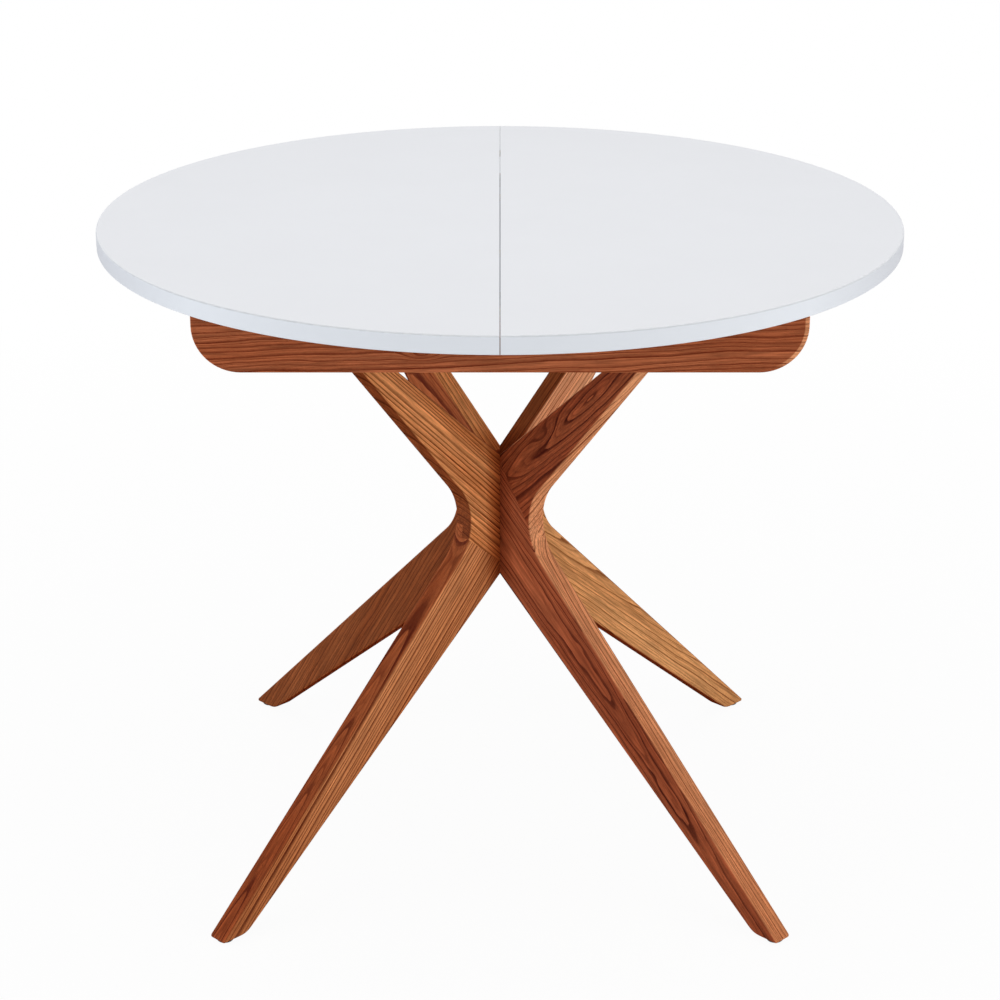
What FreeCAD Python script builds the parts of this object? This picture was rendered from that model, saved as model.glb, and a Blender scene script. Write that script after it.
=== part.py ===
"""Round butterfly leaf table: two sliding half tops on a crossed base.

Millimetres, +Z up. The origin is on the floor, under the middle of the top. X is the way the
two halves slide apart, and -Y is the front. Every sub-part is written to parts/NODE.step.
"""
import FreeCAD, Part
import math
import os
from FreeCAD import Vector

# ---------------------------------------------------------------- driving dimensions
# Overall
TABLE_HEIGHT = 750.0
TOP_DIAMETER = 900.0
TOP_THICKNESS = 20.0
TOP_EDGE_RADIUS = 2.0
SEAM_GAP = 0.4            # between the closed halves
SEAM_ARRIS = 0.5          # chamfer on both upper seam edges

# Crossed base: reaches are horizontal, from the middle
BOARD_THICKNESS = 25.0
BOARD_EDGE_RADIUS = 3.0
WAIST_SHARE = 0.5992          # the waist's height over the height of the arms' upper ends
WAIST_REACH = 35.7            # sharp corner, before the waist is rounded
WAIST_RADIUS = 65.0
NOTCH_ABOVE_WAIST = 65.5      # where the arms' upper edges meet on the centre line
NOTCH_BELOW_WAIST = 65.8      # where the legs' lower edges meet on the centre line
FOOT_REACH = 452.0
FOOT_WIDTH = 36.0
HEEL_RADIUS = 25.0
TOE_RADIUS = 2.0
ARM_TIP_WIDTH = 27.8
ARM_SHOULDER_ABOVE_NOTCH = 7.7      # half-lap shoulder where the arm runs through: its inner end
ARM_SHOULDER_BELOW_WAIST = 14.8     # and its outer end
LEG_SHOULDER_BELOW_NOTCH = 0.5      # half-lap shoulder where the leg runs through: its inner end
LEG_SHOULDER_BELOW_WAIST = 10.3     # and its outer end
SHOULDER_PAST_WAIST = 30.0          # both shoulders leave the wood inside this reach past the waist
HUB_OVERRUN = 15.0                  # the board's blank runs past the centre line, then is mitred
HUB_DOWEL_RADIUS = 3.0
HUB_DOWEL_LENGTH = 16.0
HUB_DOWEL_REACH = 9.5
HUB_DOWEL_SHARES = (0.23, 0.73)     # of the mitres' height, from the lower notch
HUB_DOWEL_STAGGER = 18.0            # crossing dowels pass above each other

# Glides under the feet
GLIDE_RADIUS = 9.0
GLIDE_THICKNESS = 3.0
GLIDE_INSET = 18.0                  # from the foot's outer corner to the glide's middle
GLIDE_NAIL_RADIUS = 1.0
GLIDE_NAIL_LENGTH = 8.0
GLIDE_NAIL_HEAD_RADIUS = 2.5
GLIDE_NAIL_HEAD_THICKNESS = 1.0
GLIDE_CHAMFER = 0.6

# Apron frame
APRON_LENGTH = 636.0
APRON_THICKNESS = 20.0
APRON_CORNER_RADIUS = 50.0
APRON_EDGE_RADIUS = 1.5
APRON_TO_TOP_GAP = 3.0
END_RAIL_THICKNESS = 20.0
BEARER_WIDTH = 42.0
BEARER_HEIGHT = 24.0
BEARER_PAST_LEAF = 1.3              # the bearers lie this far outside the stored leaf
CORNER_BLOCK_LEG = 32.0
CORNER_BLOCK_HEIGHT = 20.0
CORNER_BLOCK_LIFT = 2.0             # above the frame's lower edge
DOWEL_RADIUS = 4.0
DOWEL_LENGTH = 40.0
APRON_DOWEL_DEPTH = 12.0
END_DOWEL_HEIGHTS = (7.0, 17.0)     # above the frame's lower edge
BEARER_DOWEL_SPACING = 22.0
LEDGER_DOWEL_SPACING = 20.0

# Bolts from the bearers into the arms
BOLT_RADIUS = 3.0
BOLT_HEAD_RADIUS = 6.0
BOLT_HEAD_HEIGHT = 4.0
BOLT_REACH_INTO_ARM = 12.0
BOLT_SOCKET_RADIUS = 2.3
BOLT_SOCKET_DEPTH = 2.4
INSERT_RADIUS = 5.0
INSERT_LENGTH = 15.0
INSERT_OFFSET = 6.0                 # from the middle of the arm's tip towards the centre line

# Stored leaf: two panels hinged on a line along X and folded underside to underside
LEAF_WIDTH = 300.0
LEAF_THICKNESS = 20.0
LEAF_FOLD_GAP = 0.5                 # between the two fold edges when the leaf lies open
LEAF_STACK_GAP = 0.6                # between the folded panels
LEAF_EDGE_RADIUS = 1.0
LEAF_TO_TOP_GAP = 3.4
LEAF_SIDE_CLEARANCE = 6.0           # from the folded stack to the slide rails
LEDGER_SPACING = 240.0
LEDGER_WIDTH = 40.0
LEDGER_HEIGHT = 20.0
FELT_THICKNESS = 2.0
FELT_WIDTH = 30.0
FELT_END_MARGIN = 12.0
BUFFER_RADIUS = 5.0
BUFFER_INSET = 18.0

# Leaf hinges
HINGE_SPACING = 110.0
HINGE_LENGTH = 40.0
HINGE_WIDTH = 18.0
HINGE_PLATE = 1.5
HINGE_BARREL_RADIUS = 2.6
HINGE_PIN_RADIUS = 1.3
HINGE_RUNNING_FIT = 0.05
HINGE_KNUCKLE_GAP = 0.2
HINGE_RECESS_CLEARANCE = 0.3
HINGE_SCREW_SPACING = 26.0
HINGE_SCREW_INSET = 10.0            # from the panel's fold edge
HINGE_SCREW_RADIUS = 1.5
HINGE_SCREW_HEAD_RADIUS = 2.6
HINGE_SCREW_LENGTH = 12.0

# Seam pins, bushes and magnets
PIN_RADIUS = 4.0
PIN_EMBEDDED = 14.0
PIN_REACH = 12.0
PIN_CLEARANCE = 0.1
BUSH_WALL = 1.4
BUSH_LENGTH = 14.0
PIN_DISTANCES = (120.0, 340.0)      # from the fold line, along the seam
MAGNET_RADIUS = 5.0
MAGNET_LENGTH = 5.0
STRIKE_LENGTH = 2.0
MAGNET_RECESS = 0.2
MAGNET_DISTANCES = (60.0, 230.0)

# Slides
TRAVEL_MARGIN = 10.0                # each half opens this much past half the leaf's width
RAIL_END_INSET = 22.0               # from the apron's end to the slide rail's end
RAIL_WIDTH = 40.0
RAIL_HEIGHT = 32.0
RAIL_BASE = 4.0
RAIL_WALL = 4.0
RAIL_LIP = 3.0
RAIL_LIP_THICKNESS = 4.0
RIB_RACK_GAP = 0.6                  # the racks' teeth pass this far from the rail's middle rib
SLIDE_CLEARANCE = 0.3
UNDER_TOP_CLEARANCE = 0.6           # a runner passes below the other half
RUNNER_FLANGE_OVERHANG = 0.5        # the runner's top stays this far inside the rail's width
RUNNER_PAST_RACK = 0.5
STOP_PEG_RADIUS = 2.0
STOP_PEG_HEIGHT = 4.0
STOP_PEG_REACH = 60.0
STOP_GROOVE_CLEARANCE = 0.5

# Rack and pinion
MODULE = 1.0
PINION_TEETH = 16
PRESSURE_ANGLE = 20.0
ADDENDUM = 0.9
DEDENDUM = 1.15
BACKLASH = 0.2
FLANK_POINTS = 5                    # points along each involute flank
PINION_WIDTH = 8.0
PINION_SIDE_GAP = 1.0
PINION_SEAT_GAP = 0.3
PINION_POCKET_GAP = 0.6
RACK_BACK = 3.0                     # from the pitch line to the rack's back
RACK_TEETH_PAST_CENTRE = 4
RACK_TEETH_SPARE = 5
AXLE_RADIUS = 2.0
AXLE_FIT = 0.05
AXLE_HEAD_RADIUS = 3.5
AXLE_HEAD_HEIGHT = 2.5
AXLE_HEAD_GAP = 0.3

# Wood screws
SCREW_RADIUS = 1.9
SCREW_HEAD_RADIUS = 3.2
RUNNER_SCREW_DEPTH = 13.0           # into the top
RUNNER_SCREW_COUNT = 4
RUNNER_SCREW_MARGIN = 36.0
RAIL_SCREW_DEPTH = 16.0
SCREW_POINT_SHARE = 0.2             # the point's radius over the shank's
HOLE_FIT = 0.02                     # a hole's wall stands this far from a glued or screwed-in piece

# ---------------------------------------------------------------- derived places
QUARTER_TURN = 90.0
MITRE_ANGLE = 45.0                  # four boards at quarter turns meet on 45 degree mitres
COS45 = math.cos(math.radians(MITRE_ANGLE))
BIG = 2.0 * (TABLE_HEIGHT + TOP_DIAMETER)
CUT = 1.0                           # how far a cutting tool runs past what it cuts
NEAR = 0.01                         # edges closer than this to a plane lie on it
RACK_BELOW_LANE_MIDDLE = 1.0        # keeps the rack's seat clear of the neck and the stop groove
HEXAGON = 6

top_radius = TOP_DIAMETER / 2.0
under_top = TABLE_HEIGHT - TOP_THICKNESS
top_middle = TABLE_HEIGHT - TOP_THICKNESS / 2.0
travel = LEAF_WIDTH / 2.0 + TRAVEL_MARGIN

panel_length = top_radius - LEAF_FOLD_GAP / 2.0
stack_height = 2.0 * LEAF_THICKNESS + LEAF_STACK_GAP
leaf_bottom = under_top - LEAF_TO_TOP_GAP - stack_height
lower_panel_top = leaf_bottom + LEAF_THICKNESS
upper_panel_bottom = lower_panel_top + LEAF_STACK_GAP
fold_height = lower_panel_top + LEAF_STACK_GAP / 2.0
stack_half = panel_length / 2.0
fold_y = -stack_half - LEAF_FOLD_GAP / 2.0

frame_top = leaf_bottom - FELT_THICKNESS       # upper face of bearers and ledgers
arm_top = frame_top - BEARER_HEIGHT
frame_bottom = arm_top

rail_inner_y = stack_half + LEAF_SIDE_CLEARANCE
rail_middle_y = rail_inner_y + RAIL_WIDTH / 2.0
apron_inner_y = rail_inner_y + RAIL_WIDTH
apron_outer_y = apron_inner_y + APRON_THICKNESS
apron_top = under_top - APRON_TO_TOP_GAP
end_rail_outer_x = APRON_LENGTH / 2.0 - APRON_CORNER_RADIUS
end_rail_inner_x = end_rail_outer_x - END_RAIL_THICKNESS
end_rail_x = (end_rail_outer_x + end_rail_inner_x) / 2.0

rail_half_length = APRON_LENGTH / 2.0 - RAIL_END_INSET
rail_bottom = frame_top
rail_floor = rail_bottom + RAIL_BASE
rail_top = rail_bottom + RAIL_HEIGHT
lip_bottom = rail_top - RAIL_LIP_THICKNESS

pitch_radius = MODULE * PINION_TEETH / 2.0
rack_back_q = pitch_radius + RACK_BACK
pitch = math.pi * MODULE
rack_inboard = (math.ceil(travel / pitch) + RACK_TEETH_SPARE + 0.5) * pitch
rack_outboard = (RACK_TEETH_PAST_CENTRE + 0.5) * pitch
runner_inboard = rack_inboard + RUNNER_PAST_RACK
rib_half = pitch_radius - MODULE * ADDENDUM - RIB_RACK_GAP
lane_inner_q = rib_half + SLIDE_CLEARANCE
lane_outer_q = RAIL_WIDTH / 2.0 - RAIL_WALL - SLIDE_CLEARANCE
neck_outer_q = lane_outer_q - RAIL_LIP
lane_middle_q = (lane_inner_q + lane_outer_q) / 2.0
runner_bottom = rail_floor + SLIDE_CLEARANCE
runner_shoulder = lip_bottom - SLIDE_CLEARANCE
runner_wing_bottom = rail_top + SLIDE_CLEARANCE
runner_wing_q = RAIL_WIDTH / 2.0 - RUNNER_FLANGE_OVERHANG
runner_screw_q = (neck_outer_q + runner_wing_q) / 2.0

pinion_middle = (runner_bottom + runner_shoulder) / 2.0 - RACK_BELOW_LANE_MIDDLE
pinion_bottom = pinion_middle - PINION_WIDTH / 2.0
pinion_top = pinion_middle + PINION_WIDTH / 2.0
rack_bottom = pinion_bottom - PINION_SIDE_GAP
rack_top = pinion_top + PINION_SIDE_GAP
tip_radius = pitch_radius + MODULE * ADDENDUM

waist_height = WAIST_SHARE * arm_top
upper_notch_height = waist_height + NOTCH_ABOVE_WAIST
lower_notch_height = waist_height - NOTCH_BELOW_WAIST
shoulder_reach = WAIST_REACH + SHOULDER_PAST_WAIST
bearer_x = LEAF_WIDTH / 2.0 + BEARER_PAST_LEAF + BEARER_WIDTH / 2.0
arm_tip_middle = bearer_x / COS45               # the arms' upper ends meet the bearers' middles
arm_tip_outer = arm_tip_middle + ARM_TIP_WIDTH / 2.0
arm_tip_inner = arm_tip_middle - ARM_TIP_WIDTH / 2.0
bolt_reach = arm_tip_middle - INSERT_OFFSET
foot_bottom = GLIDE_THICKNESS
glide_reach = FOOT_REACH - GLIDE_INSET
ledger_y = LEDGER_SPACING / 2.0
ledger_half = bearer_x - BEARER_WIDTH / 2.0


# ---------------------------------------------------------------- geometry helpers
def box(x_range, y_range, z_range):
    """Axis-aligned box from three (low, high) pairs."""
    size = [high - low for low, high in (x_range, y_range, z_range)]
    corner = Vector(x_range[0], y_range[0], z_range[0])
    return Part.makeBox(size[0], size[1], size[2], corner)


def rod(radius, start, end):
    """Cylinder from one point to another."""
    axis = Vector(*end) - Vector(*start)
    return Part.makeCylinder(radius, axis.Length, Vector(*start), axis)


def post(radius, x, y, z_low, z_high):
    """Upright cylinder."""
    return rod(radius, (x, y, z_low), (x, y, z_high))


def bar(radius, x_start, x_end, y, z):
    """Level cylinder along X."""
    return rod(radius, (x_start, y, z), (x_end, y, z))


def prism(points, direction):
    """Straight-sided prism from a closed list of points."""
    vectors = [Vector(*point) for point in points]
    wire = Part.makePolygon(vectors + [vectors[0]])
    return Part.Face(wire).extrude(Vector(*direction))


def rounded_face(corners):
    """Face in the XZ plane from (x, z, corner radius) entries in order."""
    count = len(corners)
    starts = []
    ends = []
    middles = []
    for index in range(count):
        x, z, radius = corners[index]
        here = Vector(x, 0, z)
        before = Vector(corners[index - 1][0], 0, corners[index - 1][1])
        after = Vector(corners[(index + 1) % count][0], 0, corners[(index + 1) % count][1])
        to_before = (before - here).normalize()
        to_after = (after - here).normalize()
        if radius == 0:
            starts.append(here)
            ends.append(here)
            middles.append(None)
            continue
        half = to_before.getAngle(to_after) / 2.0
        tangent = radius / math.tan(half)
        bisector = (to_before + to_after).normalize()
        starts.append(here + to_before * tangent)
        ends.append(here + to_after * tangent)
        middles.append(here + bisector * (radius / math.sin(half) - radius))
    edges = []
    for index in range(count):
        if middles[index] is not None:
            edges.append(Part.Arc(starts[index], middles[index], ends[index]).toShape())
        following = (index + 1) % count
        edges.append(Part.LineSegment(ends[index], starts[following]).toShape())
    return Part.Face(Part.Wire(edges))


def turned(shape, degrees):
    """Copy of a shape turned about the centre line."""
    copy = shape.copy()
    copy.rotate(Vector(0, 0, 0), Vector(0, 0, 1), degrees)
    return copy


def at_height(start, end, height):
    """Reach at a height on the straight line through two (reach, height) points."""
    share = (height - start[1]) / (end[1] - start[1])
    return start[0] + share * (end[0] - start[0])


def height_at(start, end, reach):
    """Height at a reach on the straight line through two (reach, height) points."""
    share = (reach - start[0]) / (end[0] - start[0])
    return start[1] + share * (end[1] - start[1])


def countersunk_screw(head_point, direction, length, radius, head_radius):
    """Screw whose flat head lies at head_point and whose point lies along direction."""
    axis = Vector(*direction).normalize()
    start = Vector(*head_point)
    tip = 2.0 * radius
    head = Part.makeCone(head_radius, radius, head_radius - radius, start, axis)
    shank = Part.makeCylinder(radius, length - tip, start, axis)
    point = Part.makeCone(radius, SCREW_POINT_SHARE * radius, tip, start + axis * (length - tip), axis)
    return head.fuse([shank, point]).removeSplitter()


def save(name, shapes):
    """Write one node: a single solid, or a group of separate solids."""
    solids = []
    for shape in shapes:
        solids.extend(shape.Solids)
    node = solids[0] if len(solids) == 1 else Part.makeCompound(solids)
    node.exportStep("parts/" + name + ".step")


# ---------------------------------------------------------------- places shared by several sub-parts
# The front slide is modelled in full. The rear slide is the front slide turned half a turn, so
# the left half has the outer lane in front and the inner lane at the rear. "side" is -1 for the
# left half and +1 for the right, and a front lane lies at y = side * q from the rail's middle.
def both_signs(values):
    """Each value with a minus and with a plus."""
    return [sign * value for value in values for sign in (-1, 1)]


def leaf_pin_places():
    """(y, z) of the pins in the folded panels: they meet the half tops' pins when the leaf is open."""
    middles = (leaf_bottom + LEAF_THICKNESS / 2.0, upper_panel_bottom + LEAF_THICKNESS / 2.0)
    return [(fold_y + distance, middle) for distance in PIN_DISTANCES for middle in middles]


def hinge_screw_places():
    """(x, y) of the screws of all three leaf hinges."""
    y = -stack_half + HINGE_SCREW_INSET
    offsets = (-HINGE_SCREW_SPACING / 2.0, HINGE_SCREW_SPACING / 2.0)
    return [(hinge_x + offset, y) for hinge_x in hinge_xs() for offset in offsets]


def hinge_xs():
    """The middles of the three leaf hinges."""
    return (-HINGE_SPACING, 0.0, HINGE_SPACING)


def front_lane_y(side, q):
    """Y of a place in a front lane."""
    return -rail_middle_y + side * q


# ---------------------------------------------------------------- fasteners
def grown_screw(place, direction, length, radius, head_radius):
    """Hole for a countersunk screw."""
    return countersunk_screw(place, direction, length + HOLE_FIT, radius + HOLE_FIT, head_radius + HOLE_FIT)


def front_runner_screws(side, maker):
    """Screws of a front runner, or their holes, up into the half top."""
    length = under_top - runner_wing_bottom + RUNNER_SCREW_DEPTH
    last = rail_half_length - RUNNER_SCREW_MARGIN
    step = (last - RUNNER_SCREW_MARGIN) / (RUNNER_SCREW_COUNT - 1)
    y = front_lane_y(side, runner_screw_q)
    screws = []
    for index in range(RUNNER_SCREW_COUNT):
        x = side * (RUNNER_SCREW_MARGIN + index * step)
        head = (x, y, runner_wing_bottom)
        screws.append(maker(head, (0, 0, 1), length, SCREW_RADIUS, SCREW_HEAD_RADIUS))
    return screws


def half_top_screws(side, maker):
    """Screws of one half's front and rear runners, or their holes."""
    front = front_runner_screws(side, maker)
    rear = [turned(screw, 180) for screw in front_runner_screws(-side, maker)]
    return front + rear


def front_rail_screws(maker):
    """Screws through the front slide rail's floor, or their holes."""
    places = [(x, side) for x in both_signs([bearer_x]) for side in (-1, 1)]
    places += [(x, 1) for x in both_signs([end_rail_x])]
    length = RAIL_BASE + RAIL_SCREW_DEPTH
    screws = []
    for x, side in places:
        head = (x, front_lane_y(side, lane_middle_q), rail_floor)
        screws.append(maker(head, (0, 0, -1), length, SCREW_RADIUS, SCREW_HEAD_RADIUS))
    return screws


def rail_screws(maker):
    """Screws of both slide rails, or their holes."""
    front = front_rail_screws(maker)
    return front + [turned(screw, 180) for screw in front]


def hinge_screws(maker):
    """Screws of the leaf hinges, or their holes: down into the lower panel, up into the upper."""
    screws = []
    for x, y in hinge_screw_places():
        for z, way in ((lower_panel_top, -1), (upper_panel_bottom, 1)):
            size = (HINGE_SCREW_LENGTH, HINGE_SCREW_RADIUS, HINGE_SCREW_HEAD_RADIUS)
            screws.append(maker((x, y, z), (0, 0, way), *size))
    return screws


def frame_dowels(radius):
    """Dowels that join end rails and bearers to the aprons, and ledgers to the bearers."""
    outer = apron_inner_y + APRON_DOWEL_DEPTH
    inner = outer - DOWEL_LENGTH
    places = [(x, frame_bottom + lift) for x in both_signs([end_rail_x]) for lift in END_DOWEL_HEIGHTS]
    for x in both_signs([bearer_x]):
        for offset in both_signs([BEARER_DOWEL_SPACING / 2.0]):
            places.append((x + offset, frame_bottom + BEARER_HEIGHT / 2.0))
    dowels = []
    for side in (-1, 1):
        dowels += [rod(radius, (x, side * inner, z), (x, side * outer, z)) for x, z in places]
    z = frame_top - LEDGER_HEIGHT / 2.0
    for x in both_signs([ledger_half]):
        for y in both_signs([ledger_y - LEDGER_DOWEL_SPACING / 2.0, ledger_y + LEDGER_DOWEL_SPACING / 2.0]):
            dowels.append(bar(radius, x - DOWEL_LENGTH / 2.0, x + DOWEL_LENGTH / 2.0, y, z))
    return dowels


def hub_dowels(radius):
    """Dowels across the four mitres; neighbouring pairs are staggered so that none meet."""
    dowels = []
    for quarter in range(4):
        stagger = HUB_DOWEL_STAGGER * (quarter % 2)
        for share in HUB_DOWEL_SHARES:
            z = lower_notch_height + share * (upper_notch_height - lower_notch_height) + stagger
            half = HUB_DOWEL_LENGTH / 2.0
            dowel = rod(radius, (HUB_DOWEL_REACH, -half, z), (HUB_DOWEL_REACH, half, z))
            dowels.append(turned(dowel, QUARTER_TURN * quarter))
    return dowels


def arm_bolt():
    """Furniture bolt with a hexagon socket, down through a bearer into an arm, at reach on +X."""
    shank = post(BOLT_RADIUS, bolt_reach, 0, arm_top - BOLT_REACH_INTO_ARM, frame_top)
    head = post(BOLT_HEAD_RADIUS, bolt_reach, 0, frame_top - BOLT_HEAD_HEIGHT, frame_top)
    corners = []
    for corner in range(HEXAGON):
        angle = 2.0 * math.pi * corner / HEXAGON
        x = bolt_reach + BOLT_SOCKET_RADIUS * math.cos(angle)
        corners.append((x, BOLT_SOCKET_RADIUS * math.sin(angle), frame_top - BOLT_SOCKET_DEPTH))
    socket = prism(corners, (0, 0, BOLT_SOCKET_DEPTH + CUT))
    return shank.fuse(head).cut(socket).removeSplitter()


def arm_bolt_hole():
    """Clearance for the bolt in the bearer."""
    over = frame_top + CUT
    shank = post(BOLT_RADIUS + HOLE_FIT, bolt_reach, 0, arm_top - CUT, over)
    head = post(BOLT_HEAD_RADIUS + HOLE_FIT, bolt_reach, 0, frame_top - BOLT_HEAD_HEIGHT - HOLE_FIT, over)
    return shank.fuse(head)


def arm_insert():
    """Threaded insert in an arm's upper end, at reach on +X."""
    bottom = arm_top - INSERT_LENGTH
    sleeve = post(INSERT_RADIUS, bolt_reach, 0, bottom, arm_top)
    bore = post(BOLT_RADIUS + HOLE_FIT, bolt_reach, 0, bottom - CUT, arm_top + CUT)
    return sleeve.cut(bore)


def at_four_boards(shape):
    """A shape made at reach on +X, repeated at the four boards."""
    return [turned(shape, MITRE_ANGLE + QUARTER_TURN * quarter) for quarter in range(4)]


# ---------------------------------------------------------------- crossed base
def board_blank():
    """One whole boomerang board in the XZ plane, edges rounded, running past the centre line."""
    upper_edge = ((0.0, upper_notch_height), (arm_tip_inner, arm_top))
    lower_edge = ((0.0, lower_notch_height), (FOOT_REACH - FOOT_WIDTH, 0.0))
    waist = (WAIST_REACH, waist_height)
    foot_outer = at_height(waist, (FOOT_REACH, 0.0), foot_bottom)
    foot_inner = at_height(lower_edge[0], lower_edge[1], foot_bottom)
    profile = rounded_face([
        (-HUB_OVERRUN, height_at(upper_edge[0], upper_edge[1], -HUB_OVERRUN), 0),
        (arm_tip_inner, arm_top, 0),
        (arm_tip_outer, arm_top, 0),
        (WAIST_REACH, waist_height, WAIST_RADIUS),
        (foot_outer, foot_bottom, TOE_RADIUS),
        (foot_inner, foot_bottom, HEEL_RADIUS),
        (-HUB_OVERRUN, height_at(lower_edge[0], lower_edge[1], -HUB_OVERRUN), 0),
    ])
    profile.translate(Vector(0, -BOARD_THICKNESS / 2.0, 0))
    blank = profile.extrude(Vector(0, BOARD_THICKNESS, 0))
    return blank.makeFillet(BOARD_EDGE_RADIUS, long_edges(blank))


def long_edges(blank):
    """The blank's edges on both broad faces, round the foot too, without the hub and tip ends."""
    chosen = []
    for edge in blank.Edges:
        points = [vertex.Point for vertex in edge.Vertexes]
        on_face = all(abs(abs(p.y) - BOARD_THICKNESS / 2.0) < NEAR for p in points)
        same_side = abs(points[0].y - points[-1].y) < NEAR
        at_hub = all(abs(p.x + HUB_OVERRUN) < NEAR for p in points)
        at_tip = all(abs(p.z - arm_top) < NEAR for p in points)
        if on_face and same_side and not (at_hub or at_tip):
            chosen.append(edge)
    return chosen


def mitre_wedge():
    """The quarter of space that belongs to the board on +X."""
    return prism([(0, 0, -CUT), (BIG, -BIG, -CUT), (BIG, BIG, -CUT)], (0, 0, TABLE_HEIGHT))


def above_shoulder(inner_height, outer_height, y_range):
    """All of one layer above a half-lap shoulder, which steps out level past the waist."""
    start = (BOARD_THICKNESS / 2.0, inner_height)
    end = (shoulder_reach, outer_height)
    behind = -HUB_OVERRUN - CUT
    outline = [
        (behind, y_range[0], height_at(start, end, behind)),
        (shoulder_reach, y_range[0], outer_height),
        (BIG, y_range[0], outer_height),
        (BIG, y_range[0], BIG),
        (behind, y_range[0], BIG),
    ]
    return prism(outline, (0, y_range[1] - y_range[0], 0))


def arm_and_leg():
    """The two pieces of the board on +X, half-lapped: arm through on +Y, leg through on -Y."""
    board = board_blank().common(mitre_wedge())
    inner = lower_notch_height + ARM_SHOULDER_ABOVE_NOTCH
    outer = waist_height - ARM_SHOULDER_BELOW_WAIST
    arm_layer = above_shoulder(inner, outer, (0, BOARD_THICKNESS))
    inner = upper_notch_height - LEG_SHOULDER_BELOW_NOTCH
    outer = waist_height - LEG_SHOULDER_BELOW_WAIST
    leg_layer = above_shoulder(inner, outer, (-BOARD_THICKNESS, 0))
    arm_space = arm_layer.fuse(leg_layer)
    arm = board.common(arm_space)
    leg = board.cut(arm_space)
    insert_bottom = arm_top - INSERT_LENGTH - HOLE_FIT
    insert_hole = post(INSERT_RADIUS + HOLE_FIT, bolt_reach, 0, insert_bottom, arm_top + CUT)
    nail_top = foot_bottom + GLIDE_NAIL_LENGTH + HOLE_FIT
    nail_hole = post(GLIDE_NAIL_RADIUS + HOLE_FIT, glide_reach, 0, 0, nail_top)
    return arm.cut(insert_hole), leg.cut(nail_hole)


def foot_glide():
    """Round glide with a countersunk nail hole, at reach on +X."""
    disc = post(GLIDE_RADIUS, glide_reach, 0, 0, GLIDE_THICKNESS)
    rim = [edge for edge in disc.Edges if edge.Closed and edge.CenterOfMass.z < GLIDE_THICKNESS / 2.0]
    disc = disc.makeChamfer(GLIDE_CHAMFER, rim)
    recess_top = 2.0 * GLIDE_NAIL_HEAD_THICKNESS
    recess = post(GLIDE_NAIL_HEAD_RADIUS + HOLE_FIT, glide_reach, 0, -CUT, recess_top)
    hole = post(GLIDE_NAIL_RADIUS + HOLE_FIT, glide_reach, 0, -CUT, GLIDE_THICKNESS + CUT)
    return disc.cut(recess.fuse(hole))


def glide_nail():
    """Nail up through a glide into a foot, at reach on +X."""
    head_bottom = GLIDE_NAIL_HEAD_THICKNESS
    head_top = head_bottom + GLIDE_NAIL_HEAD_THICKNESS
    head = post(GLIDE_NAIL_HEAD_RADIUS, glide_reach, 0, head_bottom, head_top)
    shank = post(GLIDE_NAIL_RADIUS, glide_reach, 0, head_top, foot_bottom + GLIDE_NAIL_LENGTH)
    return head.fuse(shank).removeSplitter()


# ---------------------------------------------------------------- apron frame
def front_apron():
    """Apron board with two round lower corners."""
    half = APRON_LENGTH / 2.0
    board = rounded_face([
        (-half, apron_top, 0),
        (half, apron_top, 0),
        (half, frame_bottom, APRON_CORNER_RADIUS),
        (-half, frame_bottom, APRON_CORNER_RADIUS),
    ])
    board.translate(Vector(0, -apron_outer_y, 0))
    solid = board.extrude(Vector(0, APRON_THICKNESS, 0))
    edges = []
    for edge in solid.Edges:
        points = [vertex.Point for vertex in edge.Vertexes]
        on_top = all(abs(p.z - apron_top) < NEAR for p in points)
        along_face = abs(points[0].y - points[-1].y) < NEAR
        if along_face and not on_top:
            edges.append(edge)
    dowel_holes = Part.makeCompound(frame_dowels(DOWEL_RADIUS + HOLE_FIT))
    return solid.makeFillet(APRON_EDGE_RADIUS, edges).cut(dowel_holes)


def end_rail(side):
    """Rail between the aprons, inside their round corners, notched for the slide rails."""
    x_range = sorted((side * end_rail_inner_x, side * end_rail_outer_x))
    rail = box(x_range, (-apron_inner_y, apron_inner_y), (frame_bottom, apron_top))
    cut_x = (x_range[0] - CUT, x_range[1] + CUT)
    notch_inner = rail_inner_y - SLIDE_CLEARANCE
    for y_range in ((-apron_inner_y - CUT, -notch_inner), (notch_inner, apron_inner_y + CUT)):
        rail = rail.cut(box(cut_x, y_range, (frame_top, apron_top + CUT)))
    tools = frame_dowels(DOWEL_RADIUS + HOLE_FIT) + rail_screws(grown_screw)
    return rail.cut(Part.makeCompound(tools))


def corner_blocks():
    """Triangular glue blocks inside the four corners of the frame."""
    z = frame_bottom + CORNER_BLOCK_LIFT
    blocks = []
    for side_x in (-1, 1):
        for side_y in (-1, 1):
            corner = (side_x * end_rail_inner_x, side_y * apron_inner_y, z)
            along_x = (side_x * (end_rail_inner_x - CORNER_BLOCK_LEG), side_y * apron_inner_y, z)
            along_y = (side_x * end_rail_inner_x, side_y * (apron_inner_y - CORNER_BLOCK_LEG), z)
            blocks.append(prism([corner, along_x, along_y], (0, 0, CORNER_BLOCK_HEIGHT)))
    return blocks


def bearer(side):
    """Bearer from apron to apron that lies on two arms' upper ends."""
    x_range = (side * bearer_x - BEARER_WIDTH / 2.0, side * bearer_x + BEARER_WIDTH / 2.0)
    beam = box(x_range, (-apron_inner_y, apron_inner_y), (frame_bottom, frame_top))
    tools = frame_dowels(DOWEL_RADIUS + HOLE_FIT) + rail_screws(grown_screw)
    tools += at_four_boards(arm_bolt_hole())
    return beam.cut(Part.makeCompound(tools))


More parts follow.
